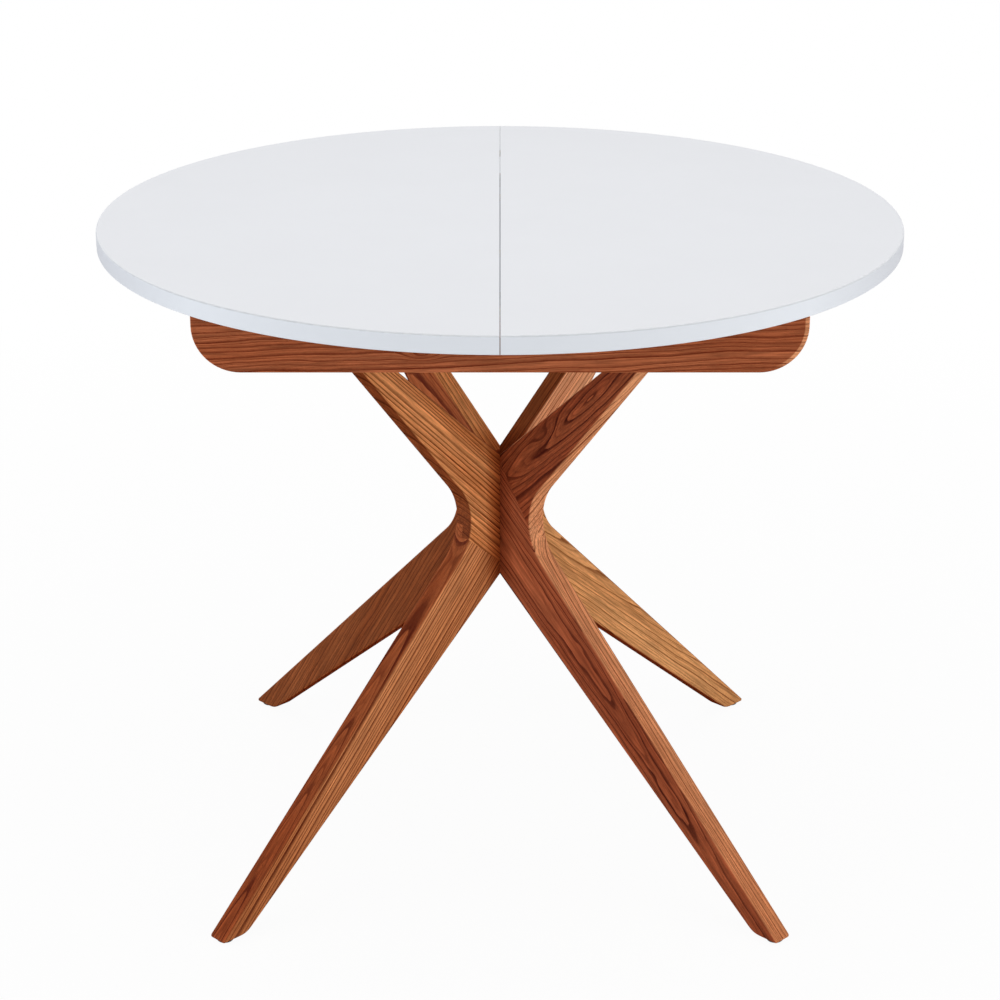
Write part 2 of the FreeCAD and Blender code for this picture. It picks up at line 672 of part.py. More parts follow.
def ledger(side):
    """Cross ledger between the bearers that carries the folded leaf."""
    y_range = (side * ledger_y - LEDGER_WIDTH / 2.0, side * ledger_y + LEDGER_WIDTH / 2.0)
    beam = box((-ledger_half, ledger_half), y_range, (frame_top - LEDGER_HEIGHT, frame_top))
    return beam.cut(Part.makeCompound(frame_dowels(DOWEL_RADIUS + HOLE_FIT)))


def ledger_felts():
    """Felt strips on the ledgers."""
    half = ledger_half - FELT_END_MARGIN
    strips = []
    for side in (-1, 1):
        y_range = (side * ledger_y - FELT_WIDTH / 2.0, side * ledger_y + FELT_WIDTH / 2.0)
        strips.append(box((-half, half), y_range, (frame_top, leaf_bottom)))
    return strips


# ---------------------------------------------------------------- slides
def front_slide_rail():
    """Two-lane slide rail with inward lips, a middle rib and a pocket for the pinion."""
    length = (-rail_half_length, rail_half_length)
    over = (-rail_half_length - CUT, rail_half_length + CUT)
    middle = -rail_middle_y
    rail = box(length, (middle - RAIL_WIDTH / 2.0, middle + RAIL_WIDTH / 2.0), (rail_bottom, rail_top))
    lane_wall = RAIL_WIDTH / 2.0 - RAIL_WALL
    for side in (-1, 1):
        lane = sorted((middle + side * rib_half, middle + side * lane_wall))
        rail = rail.cut(box(over, lane, (rail_floor, lip_bottom)))
    mouth = lane_wall - RAIL_LIP
    rail = rail.cut(box(over, (middle - mouth, middle + mouth), (lip_bottom, rail_top + CUT)))
    pocket_floor = pinion_bottom - PINION_SEAT_GAP
    pocket = post(tip_radius + PINION_POCKET_GAP, 0, middle, pocket_floor, rail_top + CUT)
    axle_hole = post(AXLE_RADIUS + HOLE_FIT, 0, middle, rail_bottom - CUT, rail_top)
    peg_holes = [front_stop_peg(side, STOP_PEG_RADIUS + HOLE_FIT) for side in (-1, 1)]
    tools = [pocket, axle_hole] + peg_holes + front_rail_screws(grown_screw)
    return rail.cut(Part.makeCompound(tools))


def front_stop_peg(side, radius):
    """Peg that stands in a lane's floor and ends the travel of that lane's runner."""
    y = front_lane_y(side, lane_middle_q)
    return post(radius, side * STOP_PEG_REACH, y, rail_bottom, rail_floor + STOP_PEG_HEIGHT)


def front_runner(side):
    """T-shaped runner of one half, with a seat for its rack and a groove for the stop peg."""
    section = [
        (lane_inner_q, runner_bottom),
        (lane_outer_q, runner_bottom),
        (lane_outer_q, runner_shoulder),
        (neck_outer_q, runner_shoulder),
        (neck_outer_q, runner_wing_bottom),
        (runner_wing_q, runner_wing_bottom),
        (runner_wing_q, under_top),
        (lane_inner_q, under_top),
    ]
    outboard = side * rail_half_length
    inboard = -side * runner_inboard
    outline = [(outboard, front_lane_y(side, q), z) for q, z in section]
    runner = prism(outline, (inboard - outboard, 0, 0))
    lane_y = sorted((front_lane_y(side, lane_inner_q - CUT), front_lane_y(side, RAIL_WIDTH)))
    past_seam = sorted((side * SEAM_GAP / 2.0, inboard - side * CUT))
    relief = box(past_seam, lane_y, (under_top - UNDER_TOP_CLEARANCE, under_top + CUT))
    seat_y = sorted((front_lane_y(side, lane_inner_q - CUT), front_lane_y(side, rack_back_q)))
    seat_x = sorted((side * rack_outboard, -side * rack_inboard))
    seat = box(seat_x, seat_y, (rack_bottom, rack_top))
    play = STOP_PEG_RADIUS + STOP_GROOVE_CLEARANCE
    groove_x = sorted((side * (STOP_PEG_REACH + play), side * (STOP_PEG_REACH - play - travel)))
    groove_y = (front_lane_y(side, lane_middle_q) - play, front_lane_y(side, lane_middle_q) + play)
    groove_top = rail_floor + STOP_PEG_HEIGHT + STOP_GROOVE_CLEARANCE
    groove = box(groove_x, groove_y, (runner_bottom - CUT, groove_top))
    tools = [relief, seat, groove] + front_runner_screws(side, grown_screw)
    return runner.cut(Part.makeCompound(tools))


def front_rack(side):
    """Straight rack whose teeth face the pinion, with a tooth on the pinion's centre line."""
    half_pitch_line = (pitch / 2.0 - BACKLASH) / 2.0
    slope = math.tan(math.radians(PRESSURE_ANGLE))
    tip_half = half_pitch_line - ADDENDUM * MODULE * slope
    root_half = half_pitch_line + DEDENDUM * MODULE * slope
    tip_q = pitch_radius - ADDENDUM * MODULE
    root_q = pitch_radius + DEDENDUM * MODULE
    outline = [(-rack_outboard, rack_back_q), (-rack_outboard, root_q)]
    last_tooth = round(rack_inboard / pitch - 0.5)
    for tooth in range(-RACK_TEETH_PAST_CENTRE, last_tooth + 1):
        middle = tooth * pitch
        outline += [(middle - root_half, root_q), (middle - tip_half, tip_q)]
        outline += [(middle + tip_half, tip_q), (middle + root_half, root_q)]
    outline += [(rack_inboard, root_q), (rack_inboard, rack_back_q)]
    points = [(-side * d, front_lane_y(side, q), rack_bottom) for d, q in outline]
    return prism(points, (0, 0, rack_top - rack_bottom))


def involute(angle):
    """Involute function of a pressure angle in radians."""
    return math.tan(angle) - angle


def front_pinion():
    """Involute pinion with a tooth space facing each rack, on a running fit."""
    base_radius = pitch_radius * math.cos(math.radians(PRESSURE_ANGLE))
    root_radius = pitch_radius - DEDENDUM * MODULE
    half_tooth = (pitch / 2.0 - BACKLASH) / 2.0 / pitch_radius + involute(math.radians(PRESSURE_ANGLE))
    flank = [(root_radius, half_tooth)]
    for index in range(FLANK_POINTS):
        radius = base_radius + (tip_radius - base_radius) * index / (FLANK_POINTS - 1)
        flank.append((radius, half_tooth - involute(math.acos(base_radius / radius))))
    outline = []
    for tooth in range(PINION_TEETH):
        middle = 2.0 * math.pi * (tooth + 0.5) / PINION_TEETH
        polar = [(radius, middle - half) for radius, half in flank]
        polar += [(radius, middle + half) for radius, half in reversed(flank)]
        for radius, angle in polar:
            x = radius * math.cos(angle)
            y = -rail_middle_y + radius * math.sin(angle)
            outline.append((x, y, pinion_bottom))
    wheel = prism(outline, (0, 0, PINION_WIDTH))
    bore = post(AXLE_RADIUS + AXLE_FIT, 0, -rail_middle_y, rail_bottom, rail_top)
    return wheel.cut(bore)


def front_axle():
    """Shoulder screw that carries the pinion."""
    y = -rail_middle_y
    head_bottom = pinion_top + AXLE_HEAD_GAP
    shank = post(AXLE_RADIUS, 0, y, rail_bottom, head_bottom)
    head = post(AXLE_HEAD_RADIUS, 0, y, head_bottom, head_bottom + AXLE_HEAD_HEIGHT)
    return shank.fuse(head).removeSplitter()


# ---------------------------------------------------------------- half tops
# Every pin stands out of a right-hand edge, towards +X, and every bush opens on a left-hand edge.
def seam_pin(x, y, z, radius, embedded, reach):
    """Pin let into an edge at x."""
    return bar(radius, x - embedded, x + reach, y, z)


def pin_hole(x, y, z):
    """Hole for a pin, open at the edge at x."""
    return seam_pin(x, y, z, PIN_RADIUS + HOLE_FIT, PIN_EMBEDDED + HOLE_FIT, CUT)


def seam_bush(x, y, z):
    """Bush let into an edge at x."""
    outer = bar(PIN_RADIUS + PIN_CLEARANCE + BUSH_WALL, x, x + BUSH_LENGTH, y, z)
    bore = bar(PIN_RADIUS + PIN_CLEARANCE, x - CUT, x + BUSH_LENGTH + CUT, y, z)
    return outer.cut(bore)


def bush_hole(x, y, z):
    """Hole for a bush, open at the edge at x."""
    radius = PIN_RADIUS + PIN_CLEARANCE + BUSH_WALL + HOLE_FIT
    return bar(radius, x - CUT, x + BUSH_LENGTH + HOLE_FIT, y, z)


def half_top(side):
    """Half of the round top with its rounded rim, seam arris and all its holes."""
    disc = post(top_radius, 0, 0, under_top, TABLE_HEIGHT)
    rims = [edge for edge in disc.Edges if edge.Closed]
    disc = disc.makeFillet(TOP_EDGE_RADIUS, rims)
    seam_x = side * SEAM_GAP / 2.0
    half = disc.common(box(sorted((seam_x, side * BIG)), (-BIG, BIG), (0, BIG)))
    arris_outline = [
        (seam_x - side * CUT, -BIG, TABLE_HEIGHT - SEAM_ARRIS - CUT),
        (seam_x + side * (SEAM_ARRIS + CUT), -BIG, TABLE_HEIGHT + CUT),
        (seam_x - side * CUT, -BIG, TABLE_HEIGHT + CUT),
    ]
    tools = [prism(arris_outline, (0, 2.0 * BIG, 0))] + half_top_screws(side, grown_screw)
    for y in both_signs(PIN_DISTANCES):
        if side < 0:
            tools.append(pin_hole(seam_x, y, top_middle))
        else:
            tools.append(bush_hole(seam_x, y, top_middle))
    for y in both_signs(MAGNET_DISTANCES):
        length = MAGNET_LENGTH if side < 0 else STRIKE_LENGTH
        deep = seam_x + side * (MAGNET_RECESS + length + HOLE_FIT)
        tools.append(bar(MAGNET_RADIUS + HOLE_FIT, seam_x - side * CUT, deep, y, top_middle))
    return half.cut(Part.makeCompound(tools))


def alignment_pins():
    """Pins in the left half's seam face."""
    x = -SEAM_GAP / 2.0
    places = both_signs(PIN_DISTANCES)
    return [seam_pin(x, y, top_middle, PIN_RADIUS, PIN_EMBEDDED, PIN_REACH) for y in places]


def alignment_bushes():
    """Bushes in the right half's seam face."""
    return [seam_bush(SEAM_GAP / 2.0, y, top_middle) for y in both_signs(PIN_DISTANCES)]


def seam_discs(side, length):
    """Magnets or strike plates let into a half's seam face."""
    near = side * (SEAM_GAP / 2.0 + MAGNET_RECESS)
    far = near + side * length
    return [bar(MAGNET_RADIUS, near, far, y, top_middle) for y in both_signs(MAGNET_DISTANCES)]


# ---------------------------------------------------------------- stored leaf
def leaf_panel(bottom, finished_z):
    """One panel of the folded leaf; finished_z is the height of its outward, finished face."""
    half = LEAF_WIDTH / 2.0
    panel = box((-half, half), (-stack_half, stack_half), (bottom, bottom + LEAF_THICKNESS))
    edges = []
    for edge in panel.Edges:
        if all(abs(vertex.Point.z - finished_z) < NEAR for vertex in edge.Vertexes):
            edges.append(edge)
    panel = panel.makeFillet(LEAF_EDGE_RADIUS, edges)
    tools = hinge_screws(grown_screw) + hinge_recesses()
    for y, z in leaf_pin_places():
        tools.append(pin_hole(half, y, z))
        tools.append(bush_hole(-half, y, z))
    return panel.cut(Part.makeCompound(tools))


def hinge_recesses():
    """Recesses in the panels for the hinge plates and the barrels."""
    recesses = []
    for x in hinge_xs():
        x_range = (x - HINGE_LENGTH / 2.0 - HOLE_FIT, x + HINGE_LENGTH / 2.0 + HOLE_FIT)
        y_range = (-stack_half - CUT, -stack_half + HINGE_WIDTH + HOLE_FIT)
        z_range = (lower_panel_top - HINGE_PLATE - HOLE_FIT, upper_panel_bottom + HINGE_PLATE + HOLE_FIT)
        recesses.append(box(x_range, y_range, z_range))
        start = x_range[0] - HINGE_RECESS_CLEARANCE
        end = x_range[1] + HINGE_RECESS_CLEARANCE
        recesses.append(bar(HINGE_BARREL_RADIUS + HINGE_RECESS_CLEARANCE, start, end, fold_y, fold_height))
    return recesses


def hinge_plates():
    """Two plates of each leaf hinge: outer knuckles on the lower plate, middle one on the upper."""
    third = HINGE_LENGTH / 3.0
    plates = []
    for x in hinge_xs():
        low = x - HINGE_LENGTH / 2.0
        spans = [(low + third * index, low + third * (index + 1)) for index in range(3)]
        bore_radius = HINGE_PIN_RADIUS + HINGE_RUNNING_FIT
        bore = bar(bore_radius, low - CUT, low + HINGE_LENGTH + CUT, fold_y, fold_height)
        flats = ((lower_panel_top - HINGE_PLATE, (0, 2)), (upper_panel_bottom, (1,)))
        for z, own in flats:
            plate_y = (fold_y, -stack_half + HINGE_WIDTH)
            plate = box((low, low + HINGE_LENGTH), plate_y, (z, z + HINGE_PLATE))
            for index, span in enumerate(spans):
                gap = HINGE_KNUCKLE_GAP / 2.0
                if index in own:
                    start = span[0] + (gap if index > 0 else 0.0)
                    end = span[1] - (gap if index < 2 else 0.0)
                    plate = plate.fuse(bar(HINGE_BARREL_RADIUS, start, end, fold_y, fold_height))
                else:
                    start = span[0] - (gap if index > 0 else CUT)
                    end = span[1] + (gap if index < 2 else CUT)
                    radius = HINGE_BARREL_RADIUS + HINGE_KNUCKLE_GAP
                    plate = plate.cut(bar(radius, start, end, fold_y, fold_height))
            plates.append(plate.cut(Part.makeCompound([bore] + hinge_screws(grown_screw))))
    return plates


def hinge_pins():
    """Pins of the three leaf hinges."""
    half = HINGE_LENGTH / 2.0
    return [bar(HINGE_PIN_RADIUS, x - half, x + half, fold_y, fold_height) for x in hinge_xs()]


def leaf_buffers():
    """Thin felt discs that keep the folded panels apart at their free end."""
    y = stack_half - BUFFER_INSET
    xs = both_signs([LEAF_WIDTH / 2.0 - BUFFER_INSET])
    return [post(BUFFER_RADIUS, x, y, lower_panel_top, upper_panel_bottom) for x in xs]


# ---------------------------------------------------------------- write every node
def write_base():
    """Arms, legs and what joins and carries them."""
    arm, leg = arm_and_leg()
    dowel_holes = Part.makeCompound(hub_dowels(HUB_DOWEL_RADIUS + HOLE_FIT))
    corners = {"rear_right": 0, "rear_left": 1, "front_left": 2, "front_right": 3}
    for corner, quarter in corners.items():
        angle = MITRE_ANGLE + QUARTER_TURN * quarter
        save("arm_" + corner, [turned(arm, angle).cut(dowel_holes)])
        save("leg_" + corner, [turned(leg, angle).cut(dowel_holes)])
    save("hub_dowels", hub_dowels(HUB_DOWEL_RADIUS))
    save("arm_bolts", at_four_boards(arm_bolt()))
    save("arm_inserts", at_four_boards(arm_insert()))
    save("foot_glides", at_four_boards(foot_glide()))
    save("glide_nails", at_four_boards(glide_nail()))


def write_frame():
    """Apron frame, bearers and ledgers."""
    apron = front_apron()
    save("apron_front", [apron])
    save("apron_rear", [turned(apron, 180)])
    save("end_rail_left", [end_rail(-1)])
    save("end_rail_right", [end_rail(1)])
    save("bearer_left", [bearer(-1)])
    save("bearer_right", [bearer(1)])
    save("leaf_ledger_front", [ledger(-1)])
    save("leaf_ledger_rear", [ledger(1)])
    save("ledger_felts", ledger_felts())
    save("corner_blocks", corner_blocks())
    save("frame_dowels", frame_dowels(DOWEL_RADIUS))


def write_slides():
    """Slide rails, runners, racks and pinions."""
    rail = front_slide_rail()
    save("slide_rail_front", [rail])
    save("slide_rail_rear", [turned(rail, 180)])
    save("rail_screws", rail_screws(countersunk_screw))
    pegs = [front_stop_peg(side, STOP_PEG_RADIUS) for side in (-1, 1)]
    save("stop_pegs", pegs + [turned(peg, 180) for peg in pegs])
    for side, name, opposite in ((-1, "left", "right"), (1, "right", "left")):
        runner = front_runner(side)
        save("runner_front_" + name, [runner])
        save("runner_rear_" + opposite, [turned(runner, 180)])
        rack = front_rack(side)
        save("rack_front_" + name, [rack])
        save("rack_rear_" + opposite, [turned(rack, 180)])
        save("runner_screws_" + name, half_top_screws(side, countersunk_screw))
    pinion = front_pinion()
    save("pinion_front", [pinion])
    save("pinion_rear", [turned(pinion, 180)])
    axle = front_axle()
    save("pinion_axles", [axle, turned(axle, 180)])


def write_top():
    """Both half tops and what sits in their seam faces."""
    save("tabletop_left", [half_top(-1)])
    save("tabletop_right", [half_top(1)])
    save("alignment_pins", alignment_pins())
    save("alignment_bushes", alignment_bushes())
    save("seam_magnets", seam_discs(-1, MAGNET_LENGTH))
    save("magnet_strikes", seam_discs(1, STRIKE_LENGTH))


def write_leaf():
    """The stored leaf and its hardware."""
    half = LEAF_WIDTH / 2.0
    save("leaf_panel_lower", [leaf_panel(leaf_bottom, leaf_bottom)])
    save("leaf_panel_upper", [leaf_panel(upper_panel_bottom, upper_panel_bottom + LEAF_THICKNESS)])
    places = leaf_pin_places()
    save("leaf_pins", [seam_pin(half, y, z, PIN_RADIUS, PIN_EMBEDDED, PIN_REACH) for y, z in places])
    save("leaf_bushes", [seam_bush(-half, y, z) for y, z in places])
    save("leaf_hinge_plates", hinge_plates())
    save("leaf_hinge_pins", hinge_pins())
    save("leaf_hinge_screws", hinge_screws(countersunk_screw))
    save("leaf_buffers", leaf_buffers())


os.makedirs("parts", exist_ok=True)
write_base()
write_frame()
write_slides()
write_top()
write_leaf()
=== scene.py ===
# %% [markdown]
# # A round butterfly leaf table, dressed in Blender
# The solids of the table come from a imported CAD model, which is loaded as a fixed frame. This
# lesson gives every solid its finish and sets up a camera and a plain studio. Lengths are
# metres, the floor is z = 0, the two half tops slide apart along X, and the front is -Y.

# %% Load the frame
import bmesh
import bpy
import math
from mathutils import Matrix, Vector


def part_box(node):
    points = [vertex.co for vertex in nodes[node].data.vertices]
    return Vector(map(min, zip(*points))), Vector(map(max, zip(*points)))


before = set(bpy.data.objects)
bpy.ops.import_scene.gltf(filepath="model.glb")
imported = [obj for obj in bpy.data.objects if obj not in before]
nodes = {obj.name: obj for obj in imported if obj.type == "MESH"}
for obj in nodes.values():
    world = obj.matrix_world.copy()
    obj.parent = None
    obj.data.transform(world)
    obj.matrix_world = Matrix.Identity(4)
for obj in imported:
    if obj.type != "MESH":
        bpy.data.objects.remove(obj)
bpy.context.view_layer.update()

# %% [markdown]
# ## Sizes that several cells share
# The frame already holds every solid at its real size, so only a few numbers are repeated here.
# They say how thick the boards of the crossed base are and which way each one points, in
# degrees round the middle, because that decides how their grain runs.

# %% Shared sizes
MM = 0.001
BOARD_THICKNESS = 25.0 * MM
CORNER_TURNS = {"rear_right": 45.0, "rear_left": 135.0, "front_left": 225.0, "front_right": 315.0}
UP = Vector((0.0, 0.0, 1.0))
ALONG_X = Vector((1.0, 0.0, 0.0))
ALONG_Y = Vector((0.0, 1.0, 0.0))
print("Boards of the base:", ", ".join(CORNER_TURNS))

# %% [markdown]
# ## Camera
# A table is best seen from a standing person's distance with a long lens, which keeps the round
# top a calm ellipse. The lens is given in millimetres for a sensor 36 mm wide. The tiny shift
# sets the table's height in the frame without turning the camera.

# %% Place the camera
CAMERA_PLACE = (0.0, -2.8684, 1.5083)
CAMERA_PITCH = 21.012
LENS_LENGTH = 94.45
SENSOR_WIDTH = 36.0
SHIFT_UP = 0.001

camera_data = bpy.data.cameras.new("camera")
camera_data.lens = LENS_LENGTH
camera_data.sensor_width = SENSOR_WIDTH
camera_data.shift_y = SHIFT_UP
camera = bpy.data.objects.new("camera", camera_data)
camera.location = CAMERA_PLACE
camera.rotation_euler = (math.radians(90.0 - CAMERA_PITCH), 0.0, 0.0)
bpy.context.scene.collection.objects.link(camera)
bpy.context.scene.camera = camera
print("Camera lens:", LENS_LENGTH, "mm, pitch:", CAMERA_PITCH, "degrees down")

# %% [markdown]
# ## Helpers for shader nodes
# Every finish below is a small node tree, made in code so that the same tree can be repeated
# with other values. In the node editor each step is a click and a drag. Here one helper adds a
# node, one joins a value or a socket to an input, and one does a sum.


# %% Nodes and sums
def add_node(tree, kind, **settings):
    """Add a node and set its properties."""
    new = tree.nodes.new(kind)
    for key, value in settings.items():
        setattr(new, key, value)
    return new


def join(tree, source, target):
    """Feed a socket, or set a plain value, on an input."""
    if isinstance(source, bpy.types.NodeSocket):
        tree.links.new(source, target)
    else:
        target.default_value = source


def calc(tree, operation, *values):
    """A Math node on sockets or numbers; gives its output socket."""
    maths = add_node(tree, "ShaderNodeMath", operation=operation)
    for index, value in enumerate(values):
        join(tree, value, maths.inputs[index])
    return maths.outputs[0]


print("Helpers for nodes and sums are ready")

# %% [markdown]
# Patterns need a few more. One measures a diagonal, one stretches a pattern, one takes a value
# from one range to another, and one makes a noise, which is a cloud of random values. Nearly all
# of a noise lies between 0.3 and 0.7, so most masks below spread that span out to 0 and 1.

# %% Patterns and ranges
NOISE_SPAN = (0.3, 0.7)


def diagonal(tree, side, back):
    """The length of the diagonal across two sides that are square to each other."""
    squares = [calc(tree, "MULTIPLY", length, length) for length in (side, back)]
    return calc(tree, "SQRT", calc(tree, "ADD", *squares))


def stretch(tree, vector, scale):
    """A vector multiplied by three numbers, which stretches the pattern that reads it."""
    maths = add_node(tree, "ShaderNodeVectorMath", operation="MULTIPLY")
    join(tree, vector, maths.inputs[0])
    maths.inputs[1].default_value = scale
    return maths.outputs[0]


def spread(tree, value, low, high, new_low=0.0, new_high=1.0):
    """A value taken from one range to another and kept inside it."""
    mapped = add_node(tree, "ShaderNodeMapRange")
    for index, entry in enumerate((value, low, high, new_low, new_high)):
        join(tree, entry, mapped.inputs[index])
    return mapped.outputs[0]


def noise(tree, vector, cells, detail=2.0, roughness=0.5):
    """A noise node with so many cells per metre in X, Y and Z; its outputs are Fac and Color."""
    cloud = add_node(tree, "ShaderNodeTexNoise")
    join(tree, stretch(tree, vector, cells), cloud.inputs["Vector"])
    cloud.inputs["Scale"].default_value = 1.0
    cloud.inputs["Detail"].default_value = detail
    cloud.inputs["Roughness"].default_value = roughness
    return cloud


print("Helpers for patterns and ranges are ready")

# %% [markdown]
# A finish often depends on which way a surface faces. The broad face of a board takes other
# tones than its narrow face, partly as painted light, and an underside gets painted shade. The
# normal on Texture Coordinate keeps to the piece's own directions, so such a mask moves along
# with its piece.


# %% Masks by direction
def facing(tree, direction, low, high):
    """0 where the surface turns from a direction of the piece, 1 where it faces along it."""
    coordinates = add_node(tree, "ShaderNodeTexCoord")
    product = add_node(tree, "ShaderNodeVectorMath", operation="DOT_PRODUCT")
    join(tree, coordinates.outputs["Normal"], product.inputs[0])
    product.inputs[1].default_value = direction
    return spread(tree, calc(tree, "ABSOLUTE", product.outputs["Value"]), low, high)


def turned_down(tree, low, high):
    """1 where the surface of a piece looks down, 0 where it looks up or sideways."""
    coordinates = add_node(tree, "ShaderNodeTexCoord")
    parts = add_node(tree, "ShaderNodeSeparateXYZ")
    join(tree, coordinates.outputs["Normal"], parts.inputs[0])
    return spread(tree, calc(tree, "MULTIPLY", parts.outputs["Z"], -1.0), low, high)


print("Helpers for direction masks are ready")

# %% [markdown]
# Nodes take colours as linear light, and people choose them as a screen shows them. So the
# colours of the woods are written as screen values from 0 to 255, and one helper turns them into
# light. The other helpers mix two colours, make a colour out of values, and bend a value along a
# curve.


# %% Colours
def shown(red, green, blue):
    """A colour as a screen shows it, 0 to 255, turned into the linear values that nodes take."""
    def linear(part):
        part = part / 255.0
        return part / 12.92 if part <= 0.04045 else ((part + 0.055) / 1.055) ** 2.4
    return tuple(linear(part) for part in (red, green, blue))


def blend_colours(tree, factor, first, second, mode="MIX"):
    """Two colours mixed by a factor."""
    mix = add_node(tree, "ShaderNodeMix", data_type="RGBA", blend_type=mode)
    join(tree, factor, mix.inputs["Factor"])
    for entry, name in ((first, "A"), (second, "B")):
        socket = [s for s in mix.inputs if s.name == name and s.type == "RGBA"][0]
        if not isinstance(entry, bpy.types.NodeSocket) and len(entry) == 3:
            entry = (*entry, 1.0)
        join(tree, entry, socket)
    return [s for s in mix.outputs if s.type == "RGBA"][0]


def colour_of(tree, *values):
    """Three values as the red, green and blue of a colour, or one value as a grey."""
    colour = add_node(tree, "ShaderNodeCombineColor")
    channels = values if len(values) == 3 else values * 3
    for socket, value in zip(colour.inputs, channels):
        join(tree, value, socket)
    return colour.outputs[0]


def curve(tree, value, stops):
    """A value sent through (place, height) stops."""
    ramp = add_node(tree, "ShaderNodeValToRGB")
    ramp.color_ramp.interpolation = "EASE"
    while len(ramp.color_ramp.elements) < len(stops):
        ramp.color_ramp.elements.new(0.5)
    for element, (place, height) in zip(ramp.color_ramp.elements, stops):
        element.position = place
        element.color = (height, height, height, 1.0)
    join(tree, value, ramp.inputs[0])
    return ramp.outputs["Color"]


print("Helpers for colours are ready, middle grey is", round(shown(128, 128, 128)[0], 3), "in light")

# %% [markdown]
# A node group is a tree that is built once and placed in many materials. Its sockets have names
# and defaults, so each material sets only what differs, as a maker sets a tool before a cut.

# %% Node groups
FLOAT = "NodeSocketFloat"
VECTOR = "NodeSocketVector"


def new_group(name, inputs, outputs):
    """An empty node group; inputs are (name, kind, default) and outputs are names of values."""
    group = bpy.data.node_groups.new(name, "ShaderNodeTree")
    for label, kind, default in inputs:
        socket = group.interface.new_socket(name=label, in_out="INPUT", socket_type=kind)
        if default is not None:
            socket.default_value = default
    for label in outputs:
        group.interface.new_socket(name=label, in_out="OUTPUT", socket_type=FLOAT)
    entry = group.nodes.new("NodeGroupInput")
    leave = group.nodes.new("NodeGroupOutput")
    return group, entry.outputs, leave.inputs


def use_group(tree, group, **values):
    """Place a group in a material and give its inputs values or sockets."""
    placed = add_node(tree, "ShaderNodeGroup", node_tree=group)
    for key, value in values.items():
        join(tree, value, placed.inputs[key.replace("_", " ")])
    return placed.outputs


print("Helpers for node groups are ready")

# %% [markdown]
# ## How wood grain is made
# A board is cut out of a trunk, and the trunk is a stack of yearly rings round its pith. So the
# grain here is a solid pattern: the distance from a pith line decides where in a ring each
# point lies. A face that cuts the rings square shows straight stripes, and one that touches
# them shows long arches, with no picture needed and no seam at the edges.
#
# All patterns read a vector whose X runs along the grain, Y across it and Z through the board's
# thickness. Rings are never true circles, so one slow noise pushes them aside over a whole board
# and a quick one over a few centimetres. Both are stretched along the grain.

# %% Wobble of the rings
SLOW_WOBBLE = (6.0, 24.0, 24.0)
QUICK_WOBBLE = (34.0, 110.0, 110.0)
WOBBLE_SHARES = (4.0, 0.6)


def wobble_of_rings(group, vector):
    """How far the rings stray from true circles, as two values about -1 to 1."""
    slow = noise(group, vector, SLOW_WOBBLE, detail=1.5)
    quick = noise(group, vector, QUICK_WOBBLE, detail=1.0)
    shifts = []
    for channel in range(2):
        pair = []
        for cloud, share in zip((slow, quick), WOBBLE_SHARES):
            colours = add_node(group, "ShaderNodeSeparateColor")
            join(group, cloud.outputs["Color"], colours.inputs[0])
            pair.append(calc(group, "MULTIPLY_ADD", colours.outputs[channel], share, -share / 2.0))
        shifts.append(calc(group, "ADD", *pair))
    return shifts


print("Wobbles, in cells per metre:", SLOW_WOBBLE, "and", QUICK_WOBBLE)

# %% [markdown]
# The distance from the pith, divided by the width of a ring, is the age of the wood in years.
# Good and bad years make the rings wide or narrow, which a noise along the years adds.

# %% Counting the years
WEATHER_PACE = 0.37
WEATHER_YEARS = 1.7


def count_years(group, entry):
    """How many years each point lies from the pith, as a number with a fraction."""
    parts = add_node(group, "ShaderNodeSeparateXYZ")
    join(group, entry["Vector"], parts.inputs[0])
    along, across, deep = parts.outputs
    wobble = wobble_of_rings(group, entry["Vector"])
    shifts = [calc(group, "MULTIPLY", shift, entry["Waviness"]) for shift in wobble]
    bend = calc(group, "MULTIPLY", calc(group, "MULTIPLY", along, along), entry["Bend"])
    side = calc(group, "ADD", calc(group, "ADD", across, bend), shifts[0])
    back = calc(group, "ADD", deep, shifts[1])
    years = calc(group, "DIVIDE", diagonal(group, side, back), entry["Ring Width"])
    weather = add_node(group, "ShaderNodeTexNoise", noise_dimensions="1D")
    join(group, years, weather.inputs["W"])
    weather.inputs["Scale"].default_value = WEATHER_PACE
    weather.inputs["Detail"].default_value = 0.0
    return calc(group, "ADD", years, calc(group, "MULTIPLY", weather.outputs["Fac"], WEATHER_YEARS))


print("Good and bad years shift the rings by up to", WEATHER_YEARS, "years")

# %% [markdown]
# Where a branch grew, the rings climb round it, and a flat cut shows them like the height lines
# of a hill on a map. So a knot is a soft hill that is added to the years.

# %% Knots
FLATTEN = (1.0, 1.0, 0.0)


def knot_hill(group, vector, knot_place, knot_size):
    """A soft hill, 1 at the knot and 0 away from it."""
    offset = add_node(group, "ShaderNodeVectorMath", operation="SUBTRACT")
    join(group, vector, offset.inputs[0])
    join(group, knot_place, offset.inputs[1])
    shrunk = add_node(group, "ShaderNodeVectorMath", operation="DIVIDE")
    join(group, offset.outputs[0], shrunk.inputs[0])
    join(group, knot_size, shrunk.inputs[1])
    reach = add_node(group, "ShaderNodeVectorMath", operation="LENGTH")
    join(group, stretch(group, shrunk.outputs[0], FLATTEN), reach.inputs[0])
    square = calc(group, "POWER", reach.outputs["Value"], 2.0)
    return calc(group, "EXPONENT", calc(group, "MULTIPLY", square, -1.0))


print("The knot helper is ready")

# %% [markdown]
# Each year starts with a dark, open line that fades into smooth summer wood. The curve of that
# fade is a list of stops. Thin lines between the years have a curve of their own, and streaks
# break all lines a little along the grain.

